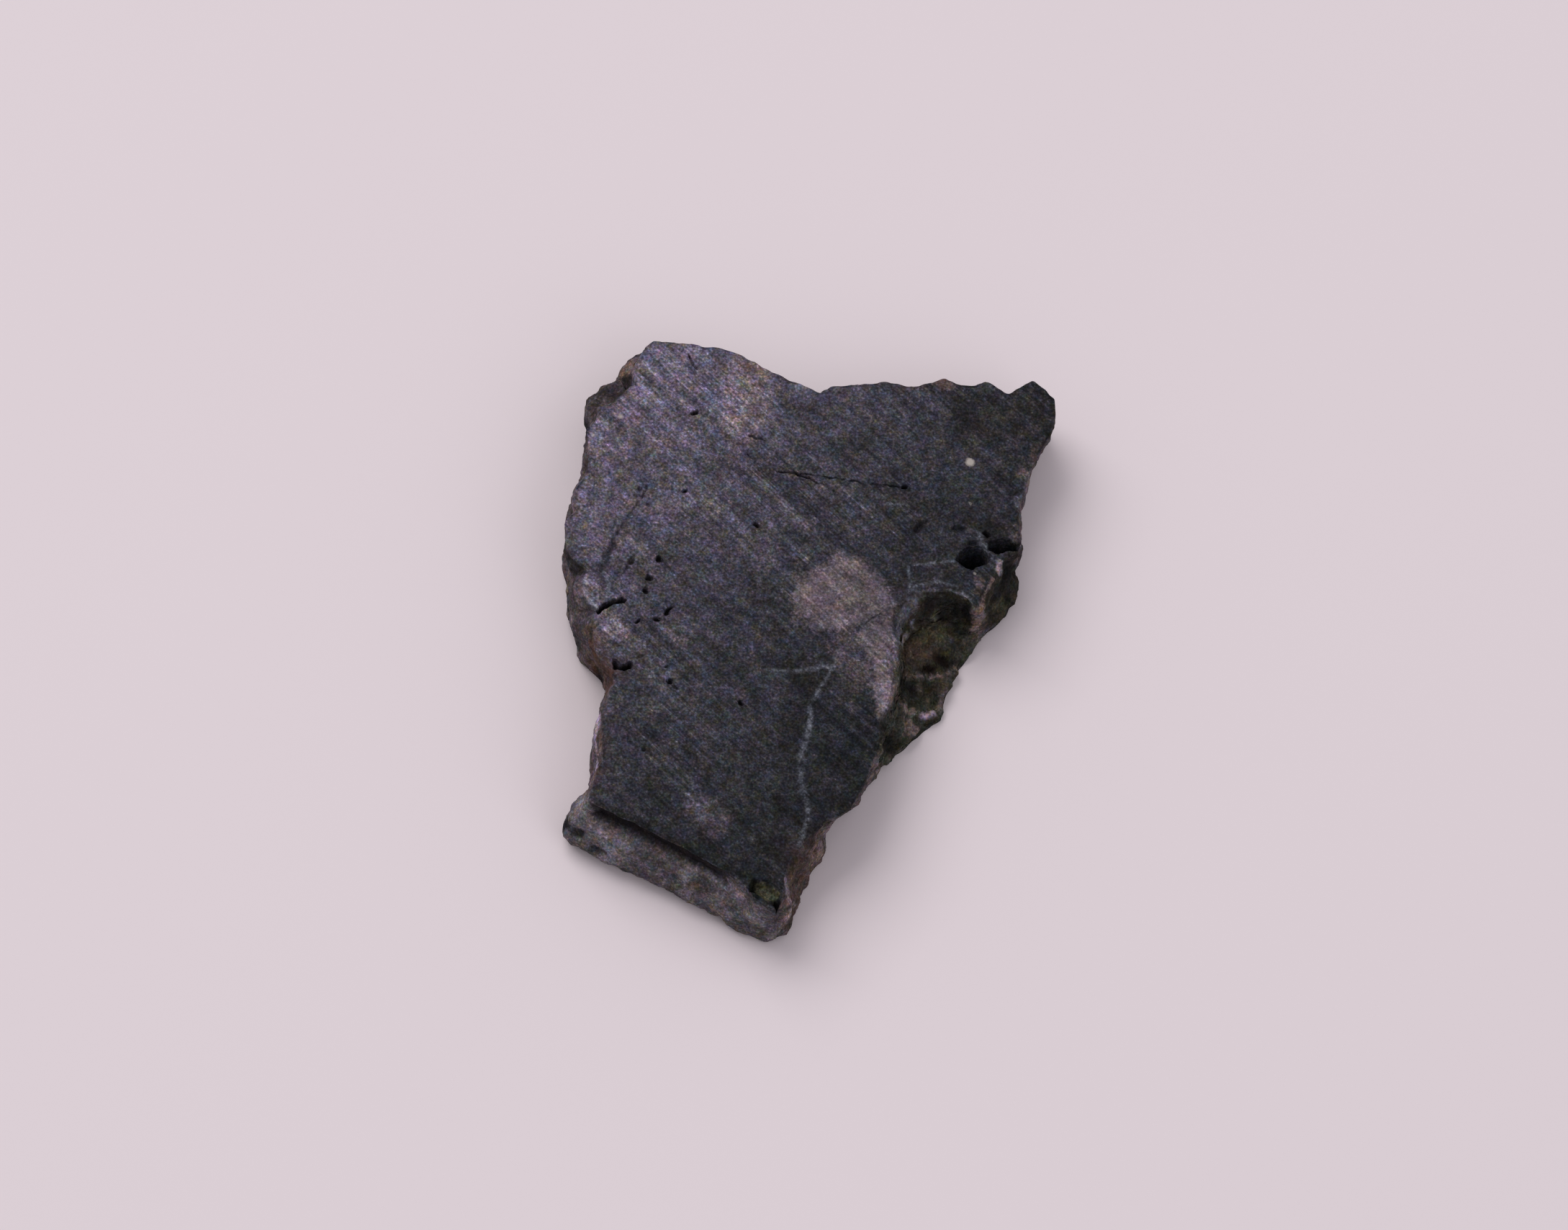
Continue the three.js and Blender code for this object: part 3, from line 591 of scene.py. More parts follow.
# Pits: x, y, half length, half width, turn in degrees, depth.
PITS = [
    (-1.61, 3.29, 0.06, 0.035, 20, 0.08), (-0.79, 1.56, 0.05, 0.04, 0, 0.08),
    (-1.79, 2.05, 0.045, 0.03, 30, 0.07), (-2.17, 0.97, 0.06, 0.05, 60, 0.09),
    (-2.34, 0.67, 0.055, 0.035, 0, 0.08), (-2.38, 0.47, 0.045, 0.045, 0, 0.08),
    (-2.06, 0.17, 0.1, 0.03, 52, 0.08), (-2.23, 0.03, 0.065, 0.03, -10, 0.08),
    (-2.49, -0.01, 0.06, 0.025, 40, 0.06), (-2.08, -0.92, 0.06, 0.04, -35, 0.09),
    (-1.09, -1.21, 0.04, 0.04, 0, 0.08), (1.35, 2.27, 0.05, 0.035, 0, 0.08),
    (-2.57, 0.91, 0.06, 0.03, 40, 0.06), (-2.56, 3.73, 0.09, 0.06, 10, 0.6),
    (-2.46, -0.54, 0.07, 0.03, 10, 0.03), (-2.12, -0.69, 0.035, 0.025, 0, 0.04),
    (-2.46, -1.98, 0.035, 0.03, 0, 0.04), (-2.0, -1.0, 0.07, 0.025, -42, 0.04),
    (-2.42, 2.04, 0.04, 0.03, 60, 0.03), (-2.32, 2.1, 0.03, 0.025, 0, 0.03),
    (-2.31, 1.82, 0.035, 0.025, 30, 0.03),
]

# Cracks and grooves: depth, painted shade, route of x, y and half width.
CRACKS = {
    "long crack": (0.05, 0.75, [
        (-0.45, 2.4, 0.016), (-0.21, 2.4, 0.022), (0.12, 2.27, 0.02), (0.34, 2.16, 0.012)]),
    "its upper branch": (0.04, 0.7, [
        (-0.2, 2.41, 0.012), (0.36, 2.36, 0.02), (0.77, 2.29, 0.014), (1.28, 2.27, 0.016)]),
    "short crack": (0.06, 1.2, [(-0.85, 2.96, 0.018), (-0.73, 2.94, 0.03), (-0.63, 2.92, 0.02)]),
    "crack beside it": (0.03, 0.8, [(-0.89, 2.66, 0.016), (-0.83, 2.62, 0.02), (-0.76, 2.62, 0.016)]),
    "crack at the peak": (0.06, 0.75, [
        (-1.67, 4.2, 0.012), (-1.62, 4.1, 0.024), (-1.57, 3.98, 0.015)]),
    "left groove": (0.02, 0.5, [
        (-2.32, 2.06, 0.014), (-2.64, 1.53, 0.022), (-2.8, 1.24, 0.03)]),
    "its broad end": (0.03, 0.6, [
        (-2.8, 1.24, 0.03), (-2.85, 1.1, 0.055), (-2.93, 0.93, 0.065), (-3.0, 0.78, 0.05)]),
    "short groove": (0.03, 1.0, [(-2.47, 1.05, 0.015), (-2.61, 0.89, 0.035), (-2.68, 0.7, 0.02)]),
    "crack in the clast": (0.02, 0.4, [(0.5, -0.02, 0.01), (0.68, 0.1, 0.02), (0.95, 0.29, 0.01)]),
}

CRUMBLE = 0.018                # mm by which noise bends the outline of an opening
BEAD = 0.13                    # mm, length of the open and closed parts of a crack


def openings(xy):
    """The depth of the holes, pits and cracks at each point, and the painted shade inside them, where 1
    is full shadow. A hollow deepens by ease over the width of its side, a pit like a bowl, and a crack
    like a wedge. Their outlines are bent by fine noise, which makes them crumbly."""
    flat = at_height(xy, 0)
    bent = xy + CRUMBLE * np.stack([lumps(flat, 0.09, 2, 51), lumps(flat, 0.09, 2, 61)], axis=1)
    depth, dark = np.zeros(len(xy)), np.zeros(len(xy))
    for deep, side, shade, outline in HOLLOWS.values():
        inside = within(bent, outline)
        floor = 1 + 0.25 * lumps(flat, 0.15, 3, 71)
        depth = np.maximum(depth, deep * ease(inside / side) * floor)
        dark = np.maximum(dark, shade * ease((inside + 0.02) / 0.06))
    for x, y, half_length, half_width, turn, deep in PITS:
        from_middle = from_ellipse(bent, x, y, half_length, half_width, turn)
        depth = np.maximum(depth, deep * ease(1.25 - from_middle))
        dark = np.maximum(dark, ease((1.35 - from_middle) / 0.9) * min(1, deep / 0.07))
    for deep, shade, route in CRACKS.values():
        across = from_route(bent, route)
        beads = np.clip(0.75 + 0.7 * lumps(flat, BEAD, 2, 75), 0, 1)
        depth = np.maximum(depth, deep * beads * np.clip(1 - across, 0, 1))
        dark = np.maximum(dark, shade * beads * ease((1.4 - across) / 1.2))
    return depth, dark


print(len(HOLLOWS), "hollows,", len(PITS), "pits and", len(CRACKS), "cracks and grooves")

# %% [markdown]
# ## The saw's grooves
# A diamond wire or blade leaves straight parallel grooves a few thousandths of a millimetre deep. They
# could be left to bump in the material, but they catch the light across the whole face, so the wider
# ones are real relief: noise that changes quickly across the cut and slowly along it. The finer ones,
# too narrow for the mesh, come later in the material.

# %% Saw grooves and edge chips
SAW_TURN = -46.5               # direction of the grooves, in degrees from +X
SAW_DEPTH = 0.006              # mm
WIDE_GROOVE, NARROW_GROOVE = (5, 0.3), (3, 0.11)        # length and width in mm
CHIP_WIDTH, CHIP_DEPTH = 0.06, 0.022                    # mm


def grooves(xy):
    """Depth of the saw grooves from 0 to SAW_DEPTH: two noises stretched along the cut."""
    angle = math.radians(SAW_TURN)
    along = xy[:, 0] * math.cos(angle) + xy[:, 1] * math.sin(angle)
    across = xy[:, 1] * math.cos(angle) - xy[:, 0] * math.sin(angle)
    wide, narrow = (noise(np.column_stack([across / width, along / length, across * 0]), 1, seed)
                    for (length, width), seed in ((WIDE_GROOVE, 81), (NARROW_GROOVE, 82)))
    return SAW_DEPTH * (1 + 0.6 * wide + 0.4 * narrow) / 2


def edge_chips(xy, from_edge):
    """Depth of the small chips along the rim: where noise is high, falling to 0 over CHIP_WIDTH."""
    chance = np.clip(lumps(at_height(xy, 0), 0.14, 2, 91) * 1.6 - 0.15, 0, 1)
    return CHIP_DEPTH * chance * ease(1 - from_edge / CHIP_WIDTH)


print("depth of the saw grooves in the middle, mm:", grooves(CENTRE).round(4))

# %% [markdown]
# ## Triangles for the faces
# A face needs small triangles only where something small happens, and an even grid fine enough for
# the cracks would take about half a million of them. Three hexagonal grids of points serve instead: a
# coarse one everywhere, a finer one along the rim and the veins, and the finest at holes, pits and
# cracks. Blender's constrained Delaunay triangulation joins them to the wall's own rim points, so
# that the skin closes without a seam.

# %% What the rock holds: veins, for the grid and later for the material
# Glassy veins: strength, route of x, y and half width.
VEINS = {
    "main vein": (0.9, [
        (0.23, -0.58, 0.02), (0.01, -0.95, 0.024), (-0.11, -1.18, 0.028), (-0.16, -1.62, 0.032),
        (-0.29, -2.01, 0.034), (-0.29, -2.39, 0.034), (-0.2, -2.81, 0.034), (-0.24, -3.06, 0.03),
        (-0.36, -3.37, 0.024)]),
    "its branch": (0.7, [(-0.71, -0.67, 0.015), (-0.38, -0.7, 0.022), (0.23, -0.58, 0.022)]),
    "vein above the clast's corner": (0.5, [(0.23, -0.58, 0.02), (0.32, -0.3, 0.02)]),
    "upright vein by the hole": (0.8, [(1.34, 1.06, 0.018), (1.35, 0.84, 0.02), (1.34, 0.64, 0.016)]),
    "level vein by the hole": (0.6, [
        (1.27, 1.04, 0.014), (1.55, 1.07, 0.018), (2.0, 1.13, 0.014)]),
    "faint level vein": (0.5, [(1.04, 1.97, 0.015), (1.4, 2.0, 0.02)]),
    "vein over the shell break": (0.6, [
        (1.1, 0.42, 0.02), (1.25, 0.56, 0.024), (1.45, 0.72, 0.026), (1.75, 0.8, 0.022),
        (2.0, 0.74, 0.018), (2.2, 0.54, 0.018)]),
    "wall between the holes": (1.2, [
        (2.37, 1.57, 0.03), (2.39, 1.42, 0.035), (2.46, 1.3, 0.035), (2.53, 1.22, 0.025)]),
    "left side of the ring": (1.5, [
        (-3.18, 0.7, 0.02), (-3.24, 0.52, 0.022), (-3.22, 0.37, 0.02), (-3.15, 0.25, 0.02),
        (-3.07, 0.17, 0.022)]),
    "right side of the ring": (1.5, [
        (-2.96, 0.72, 0.018), (-2.9, 0.58, 0.022), (-2.9, 0.4, 0.022), (-2.96, 0.28, 0.02)]),
}


def veins(xy):
    """How much glassy vein shows at each point: the strength times a bell curve of the distance,
    which is smooth enough for the triangles to carry it."""
    amount = np.zeros(len(xy))
    for strength, route in VEINS.values():
        amount = np.maximum(amount, strength * np.exp(-0.7 * from_route(xy, route) ** 2))
    return amount


print(len(VEINS), "veins")

# %% Grids of points
COARSE, FINE, FINEST = 0.043, 0.023, 0.0135     # spacing of the upper face's grids
LOWER_SPACING = 0.075          # of the lower face's one grid
RIM_BAND, MARK_BAND = 0.09, 0.035               # mm beside the rim and beside an opening
JITTER = 0.12                  # how far a point may lie off its grid, in spacings
RASTER = 0.04                  # between the places where a slow measure is worked out


def hex_grid(spacing, low, high, seed):
    """Rows of points a spacing apart, every other row moved by half of one, each point nudged."""
    row_gap = spacing * math.sqrt(3) / 2
    x, y = np.meshgrid(np.arange(low[0], high[0], spacing), np.arange(low[1], high[1], row_gap))
    x = x + (np.arange(len(x)) % 2)[:, None] * spacing / 2
    points = np.column_stack([x.ravel(), y.ravel()])
    nudge = [noise(at_height(points, 0.5 * spacing), spacing * 0.37, seed + n) for n in (0, 1)]
    return points + JITTER * spacing * np.stack(nudge, axis=1)


def charted(measure, outline):
    """Works a slow measure out on a square raster over the outline's box, and returns a function
    that reads it anywhere by mixing the four nearest places."""
    low = outline.min(axis=0) - RASTER
    size = np.ceil((outline.max(axis=0) - low) / RASTER).astype(int) + 2
    x, y = np.meshgrid(*(low[axis] + RASTER * np.arange(size[axis]) for axis in (0, 1)), indexing="ij")
    places = np.array_split(np.column_stack([x.ravel(), y.ravel()]), 10)
    values = np.concatenate([measure(part) for part in places]).reshape(size)

    def read(points):
        place = (points - low) / RASTER
        i, j = np.clip(np.floor(place).astype(int), 0, size - 2).T
        u, v = place[:, 0] - i, place[:, 1] - j
        near = values[i, j] * (1 - v) + values[i, j + 1] * v
        return near * (1 - u) + (values[i + 1, j] * (1 - v) + values[i + 1, j + 1] * v) * u
    return read


def marks(xy):
    """How far inside the nearest hollow, pit or crack each point lies, in mm."""
    inside = [within(xy, outline) for _, _, _, outline in HOLLOWS.values()]
    inside += [pit[3] * (1 - from_ellipse(xy, *pit[:5])) for pit in PITS]
    inside += [0.02 * (1 - from_route(xy, route)) for _, _, route in CRACKS.values()]
    return np.max(inside, axis=0)


def face_points(outline, from_edge):
    """The upper face's inner points. Each grid fills the places that ask for its spacing."""
    low, high = outline.min(axis=0), outline.max(axis=0)
    from_mark, on_vein = charted(marks, outline), charted(veins, outline)
    chosen = []
    for spacing, seed in ((COARSE, 101), (FINE, 103), (FINEST, 105)):
        points = hex_grid(spacing, low, high, seed)
        edge = from_edge(points)
        wanted = np.where((edge < RIM_BAND) | (on_vein(points) > 0.1), FINE, COARSE)
        wanted[from_mark(points) > -MARK_BAND] = FINEST
        chosen.append(points[(wanted == spacing) & (edge > 0.6 * spacing)])
    return np.vstack(chosen)


def face_triangles(outline, inner):
    """Triangles over the outline's points, numbered first, and then the inner points."""
    points = [Vector(point) for point in np.vstack([outline, inner]).tolist()]
    count = len(outline)
    edges = [(n, (n + 1) % count) for n in range(count)]
    corners, _, faces, origin, _, _ = delaunay_2d_cdt(points, edges, [], 1, 1e-7)
    print("  triangulated", len(points), "points into", len(faces), "triangles;",
          len(corners) - len(points), "added")
    number = np.array([first[0] for first in origin])
    return number[np.array(faces)]


upper_rim, lower_rim = wall[:, 0, :2], wall[:, -1, :2]
from_upper_rim = charted(lambda xy: within(xy, upper_rim[::3]), upper_rim)
from_lower_rim = charted(lambda xy: within(xy, lower_rim[::3]), lower_rim)
upper_xy = face_points(upper_rim, from_upper_rim)
upper_faces = face_triangles(upper_rim, upper_xy)
lower_xy = hex_grid(LOWER_SPACING, lower_rim.min(axis=0), lower_rim.max(axis=0), 111)
lower_xy = lower_xy[from_lower_rim(lower_xy) > 0.4 * LOWER_SPACING]
lower_faces = face_triangles(lower_rim, lower_xy)

# %% [markdown]
# ## One closed skin
# A stone has an inside, so its skin has no gap: instead of three objects laid edge to edge, the wall,
# the upper face and the lower face share their rim points. The upper face is lowered by its openings,
# grooves and chips, and where an opening breaks out through the rim the whole column of the wall
# below it is pressed down in proportion. The lower face was sawn too, and its grooves are pressed
# upwards, so the slice still rests on one flat plane.

# %% Heights of the faces
def upper_relief(xy, from_edge):
    """How far the upper face lies below the plane of the cut, and the painted shade of its openings."""
    depth, dark = openings(xy)
    return np.maximum(depth, edge_chips(xy, from_edge)) + grooves(xy), dark


upper_edge = from_upper_rim(upper_xy)
rim_depth, rim_dark = upper_relief(upper_rim, np.zeros(COLUMNS))
upper_depth, upper_dark = upper_relief(upper_xy, upper_edge)
wall[..., 2] *= 1 - (rim_depth / THICKNESS)[:, None]
upper = np.column_stack([upper_xy, THICKNESS - upper_depth])
lower = np.column_stack([lower_xy, grooves(lower_xy * [-1, 1])])
print("deepest place in the upper face, mm:", upper_depth.max().round(3))

# %% Join them into one mesh
MARGIN = 0.06                  # mm inside the solid's box, where teeth start to be worn down
SHARP_FROM = 38                # degrees between two triangles, from which their edge looks sharp


def skin_faces():
    """All triangles. The wall's points are numbered first, row by row from the top, then the inner
    points of the upper face and of the lower face."""
    column = np.arange(COLUMNS)
    row = np.arange(WALL_ROWS)[:, None] * COLUMNS
    a, b = row + column, row + (column + 1) % COLUMNS
    c, d = b + COLUMNS, a + COLUMNS
    flip = ((np.arange(WALL_ROWS)[:, None] + column) % 2).astype(bool)[..., None]
    one = np.where(flip, np.dstack([a, b, c]), np.dstack([a, b, d])).reshape(-1, 3)
    two = np.where(flip, np.dstack([a, c, d]), np.dstack([b, c, d])).reshape(-1, 3)
    top = np.where(upper_faces < COLUMNS, upper_faces, upper_faces - COLUMNS + WALL_POINTS)
    foot = np.where(lower_faces < COLUMNS, lower_faces + WALL_ROWS * COLUMNS,
                    lower_faces - COLUMNS + WALL_POINTS + len(upper))
    return np.vstack([one, two, top, foot[:, ::-1]])


def fitted(points, box):
    """The points in metres, moved as the solid was. Where teeth would stand out of the solid's box
    they are worn down: an excess over the line MARGIN inside it becomes MARGIN × (1 - e^(-excess /
    MARGIN))."""
    low, high = np.array(box[0])[:2] / MM, np.array(box[1])[:2] / MM
    xy = points[:, :2] + (low + high) / 2 - unbroken
    over = np.maximum(xy - (high - MARGIN), 0) - np.maximum(low + MARGIN - xy, 0)
    worn = MARGIN * np.sign(over) * (1 - np.exp(-np.abs(over) / MARGIN))
    print("worn down by up to", np.abs(over - worn).max().round(3), "mm")
    return np.column_stack([xy - over + worn, points[:, 2]]) * MM


rock = np.vstack([wall.transpose(1, 0, 2).reshape(-1, 3), upper, lower])
faces = skin_faces()
mesh = bpy.data.meshes.new(NODE)
mesh.from_pydata(fitted(rock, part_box(NODE)).tolist(), [], faces.tolist())
mesh.validate()
stone = bpy.data.objects.new("lunar_breccia_slice", mesh)
bpy.context.collection.objects.link(stone)
mesh.shade_smooth()
mesh.set_sharp_from_angle(angle=math.radians(SHARP_FROM))
print(len(rock), "points,", len(faces), "triangles")

# %% [markdown]
# ## What the rock is made of, as numbers on its skin
# The colours of breccia follow things inside it: pale clasts, glass veins, rust from metal grains.
# They could be painted on an image, but an image has one resolution and belongs to one mesh. Here
# each thing is a number at every point of the skin, and the material draws the sharp edge and the
# fine grain from it. Where an edge must be crisp, the number is a distance in millimetres.

# %% Clasts, white grains and rust
# Clasts: how many mm its edge lies inside its outline, then the outline of x and y.
CLASTS = {
    "round clast": (0, [
        (-0.33, 0.53), (-0.19, 0.84), (0.18, 1.02), (0.38, 1.24), (0.66, 1.11), (0.99, 0.8),
        (1.11, 0.51), (1.0, 0.3), (0.62, 0.05), (0.25, -0.08), (-0.07, 0.0), (-0.32, 0.19)]),
    "three-cornered clast": (0.001, [
        (0.55, -0.09), (0.73, 0.09), (0.92, 0.23), (1.12, 0.42), (1.14, 0.2), (1.03, -0.22),
        (0.97, -0.42), (1.03, -0.66), (1.06, -0.9), (1.0, -1.2), (0.9, -1.42), (0.8, -1.3),
        (0.74, -0.87), (0.66, -0.32)]),
}
# White grains: x, y, radius.
SPOTS = [(2.28, 2.7, 0.065), (-2.67, 3.18, 0.032), (-3.05, 2.85, 0.024), (-2.97, 2.75, 0.02),
         (0.04, 1.7, 0.016), (2.26, 2.05, 0.022), (2.28, 0.95, 0.02), (-2.81, -0.2, 0.018),
         (-3.2, 0.54, 0.018), (-3.05, 0.33, 0.016)]
# Rust and brown weathering: x, y, radius, strength.
RUST = [(-3.28, -1.9, 0.25, 0.6), (-3.2, -2.4, 0.2, 0.6), (-2.95, -0.75, 0.2, 1.0),
        (-3.08, -0.42, 0.14, 0.9), (1.31, 3.89, 0.12, 0.7), (1.96, 4.0, 0.13, 0.8),
        (-2.48, 4.08, 0.16, 0.5), (-0.9, 4.1, 0.2, 0.5), (-0.7, 3.3, 0.2, 0.3), (-0.05, 0.4, 0.15, 0.6),
        (0.1, 0.72, 0.14, 0.3), (-2.46, -0.54, 0.08, 0.5), (-0.3, -3.5, 0.3, 0.35),
        (1.5, 0.1, 0.5, 0.25)]


def clast_distance(xy, depth):
    """How far inside the nearest clast a point lies. A clast is about as thick as it is wide, so it
    narrows by a quarter of the depth below the upper face."""
    inside = [within(xy, outline) - set_back for set_back, outline in CLASTS.values()]
    return np.clip(np.max(inside, axis=0), -0.2, 0.2) - 0.25 * depth


def spots(xy):
    """How far inside the nearest white grain each point lies, in mm."""
    inside = [radius - np.hypot(xy[:, 0] - x, xy[:, 1] - y) for x, y, radius in SPOTS]
    return np.max(inside, axis=0)


def rust(xy):
    """How rusty each point is, from 0 to 1: a bell curve round each rusty place."""
    shown = [strength * np.exp(-((xy[:, 0] - x) ** 2 + (xy[:, 1] - y) ** 2) / radius ** 2)
             for x, y, radius, strength in RUST]
    return np.max(shown, axis=0)


print(len(CLASTS), "clasts,", len(SPOTS), "white grains and", len(RUST), "rusty places")

# %% [markdown]
# ## The slow colours
# From a step away the sawn face runs from a light purplish grey at one corner to nearly black at the
# other, and each kind of break has its own tone: the lip is pale with crushed stone, the shell break
# is dark olive glass. Part of the lightness at the far corner is a sheen, painted into the colour.
# They could be brushed onto the mesh by hand. A formula keeps them even and can be changed later, so
# they are worked out as a colour at each point, mixed in linear light.

# %% Slow colours of the sawn face and of each break
def linear(colour):
    """An sRGB hex colour as three linear numbers."""
    share = np.array([int(colour[n:n + 2], 16) for n in (1, 3, 5)]) / 255
    return np.where(share <= 0.04045, share / 12.92, ((share + 0.055) / 1.055) ** 2.4)


# The light end is partly the rock's own tone and partly a painted sheen from the light behind to the left.
LIGHT_END, DARK_END = "#6f6877", "#1e2022"      # of the sawn face
SHEEN_AND_TONE_IN_MIDDLE = 0.36                           # 0 is the dark end, and 1 the light end
SHEEN_AND_TONE_BY_X, SHEEN_AND_TONE_BY_Y = -0.111, 0.0887           # change of tone with each mm
BREAKS = {"wall": "#4d4648", "shoulder": "#464143", "lobe": "#2c2a24", "scoop": "#36362f",
          "leg": "#4b413e", "lip": "#555154", "chip": "#413c3d"}


def slow_colour(points, broken, relief):
    """Linear colours. The sawn face is dark end^(1 - t) × light end^t, where t rises evenly to the far
    left, partly the rock's own tone and partly a painted sheen. A break has the colour of its kind,
    with painted light on its crests and painted shade in its hollows. Last come the landmarks, each
    mixed in by its share."""
    x, y = points[:, 0], points[:, 1]
    # t is partly the rock's own tone and partly a painted sheen, rising towards the far left.
    tone = SHEEN_AND_TONE_IN_MIDDLE + SHEEN_AND_TONE_BY_X * x + SHEEN_AND_TONE_BY_Y * y + 0.07 * lumps(points, 1.3, 2, 141)
    tone = tone[:, None]
    cut = linear(DARK_END) ** (1 - tone) * linear(LIGHT_END) ** tone
    share = np.stack([kind_share[kind] for kind in KINDS], axis=1)
    of_kind = share @ np.stack([linear(BREAKS[kind]) for kind in KINDS])
    torn = np.zeros_like(cut)
    torn[:WALL_POINTS] = np.tile(of_kind, (WALL_ROWS + 1, 1))
    blotch = 0.45 * lumps(points, 0.22, 3, 151)
    # Random blotches, plus painted shade in the hollows of the relief and painted light on its crests.
    torn = torn * np.exp(blotch + 0.3 * np.clip(relief, -2, 2))[:, None]
    colour = cut * (1 - broken[:, None]) + torn * broken[:, None]
    for landmark, _, share in patch_shares(points):
        colour += share[:, None] * (linear(landmark) - colour)
    return colour


print("light end of the sawn face, linear:", linear(LIGHT_END).round(3))

# %% Put the numbers on the skin
def put(name, values, kind="FLOAT"):
    """Stores one number, or one vector of three, at each point of the mesh."""
    field = "vector" if kind == "FLOAT_VECTOR" else "value"
    mesh.attributes.new(name, kind, "POINT").data.foreach_set(field, np.ravel(values).astype(np.float32))


AT_RIM = 0.35                  # how broken the rock looks along the two rims
SLIT_PAINTED_SHADE = 0.93
VEIN_DEPTH, WHITE_DEPTH = 0.12, 0.3     # mm below the upper face, past which none shows

on_top = slice(WALL_POINTS, WALL_POINTS + len(upper))
below = THICKNESS - rock[:, 2]
broken, height, dark = np.zeros((3, len(rock)))
broken[:WALL_POINTS] = np.repeat(ease(np.minimum(np.arange(WALL_ROWS + 1), 2) / 2), COLUMNS)
broken[:COLUMNS] = broken[WALL_POINTS - COLUMNS:WALL_POINTS] = AT_RIM
broken[on_top] = np.clip(edge_chips(upper_xy, upper_edge) / CHIP_DEPTH, 0, 0.6)
height[:WALL_POINTS] = relief.T.ravel()
# Painted shade in the slit between the lip and the upper sawn face.
dark[:WALL_POINTS] = SLIT_PAINTED_SHADE * slit().T.ravel()
dark[:COLUMNS] = np.maximum(rim_dark, dark[:COLUMNS])
dark[on_top] = upper_dark
place = rock[:, :2]
put("slow_colour", slow_colour(rock, broken, height), "FLOAT_VECTOR")
on_wall = np.arange(len(rock)) < WALL_POINTS        # where a clast ends sooner
put("clast", np.where(on_wall, clast_distance(place, below * 6), clast_distance(place, below)))
put("vein", veins(place) * ease(1 - below / VEIN_DEPTH))
put("spot", np.where(below < WHITE_DEPTH, spots(place), -1))
put("rust", rust(place))
# Painted shade in the holes, pits, cracks and the slit above the lip.
put("dark", dark)
put("broken", broken)
print("numbers on the skin:", [a.name for a in mesh.attributes if not a.name.startswith(".")])

# %% [markdown]
# ## The stone's finish
# Lunar breccia is mostly feldspar and pyroxene in a dark glassy ground. Wet-sawn, it is matt with a
# faint sheen along the grooves, and broken, it is rough and a little lighter, because crushed grains
# scatter light. One shader holds both, and the number called broken says which shows. The layers are
# added one at a time: ground, clasts, veins, grains, and then rust and shadow in the openings.

# %% One function for every node
def add(kind, inputs, out=0, **settings):
    """Adds a shader node of a kind, applies its settings, fills its inputs, by name or number, with a
    value or a link, and returns the output of that name or number."""
    made = tree.nodes.new("ShaderNode" + kind)
    for name, value in settings.items():
        setattr(made, name, value)
    for key, value in inputs.items():
        if isinstance(value, bpy.types.NodeSocket):
            tree.links.new(value, made.inputs[key])
        else:
            made.inputs[key].default_value = value
    return made.outputs[out] if made.outputs else None


def rgba(colour):
    """A hex colour as four linear numbers."""
    return (*linear(colour), 1)


finish = bpy.data.materials.new("Lunar breccia, wet-sawn and broken")
finish.use_nodes = True
tree = finish.node_tree
tree.nodes.clear()
metres = add("TexCoord", {}, "Object")
# A Mapping node of type TEXTURE divides by its scale.
place_mm = add("Mapping", {0: metres, "Scale": (MM, MM, MM)}, vector_type="TEXTURE")
number = {name: add("Attribute", {}, "Fac", attribute_name=name)
          for name in ("clast", "vein", "spot", "rust", "dark", "broken")}
slow = add("Attribute", {}, "Vector", attribute_name="slow_colour")
sawn = add("Math", {0: 1.0, 1: number["broken"]}, operation="SUBTRACT")     # 1 on the sawn faces
RGB = {"data_type": "RGBA"}     # a Mix node of colours: factor 0, colours 6 and 7, and result 2
print(len(tree.nodes), "nodes read the places and the numbers")

# %% Light and dark at every size
# Mottles half a millimetre across hold smaller ones, down to the single grain. Their lights and
# darks multiply, so each layer adds to a power, and the colour is later times e to that power. The
# real grains go down to 0.01 mm. They are drawn from 0.03 mm up, the finest that shows.
GRAIN = 0.034                  # mm across
MOTTLES = ((0.5, 1.0, 1.4), (0.12, 1.0, 1.9), (GRAIN, 0.6, 3.1))      # mm across, roughness, weight
power = -0.05                  # so that the layers leave the mean colour as it is
for size, rough, weight in MOTTLES:
    layer = add("TexNoise", {0: place_mm, "Scale": 1 / size, "Detail": 1.0, "Roughness": rough}, "Fac")
    level = add("Math", {0: layer, 1: 0.5}, operation="SUBTRACT")
    power = add("Math", {0: level, 1: weight, 2: power}, operation="MULTIPLY_ADD")
grains = layer                 # the last and finest of them
print(len(tree.nodes), "nodes with the lights and darks")

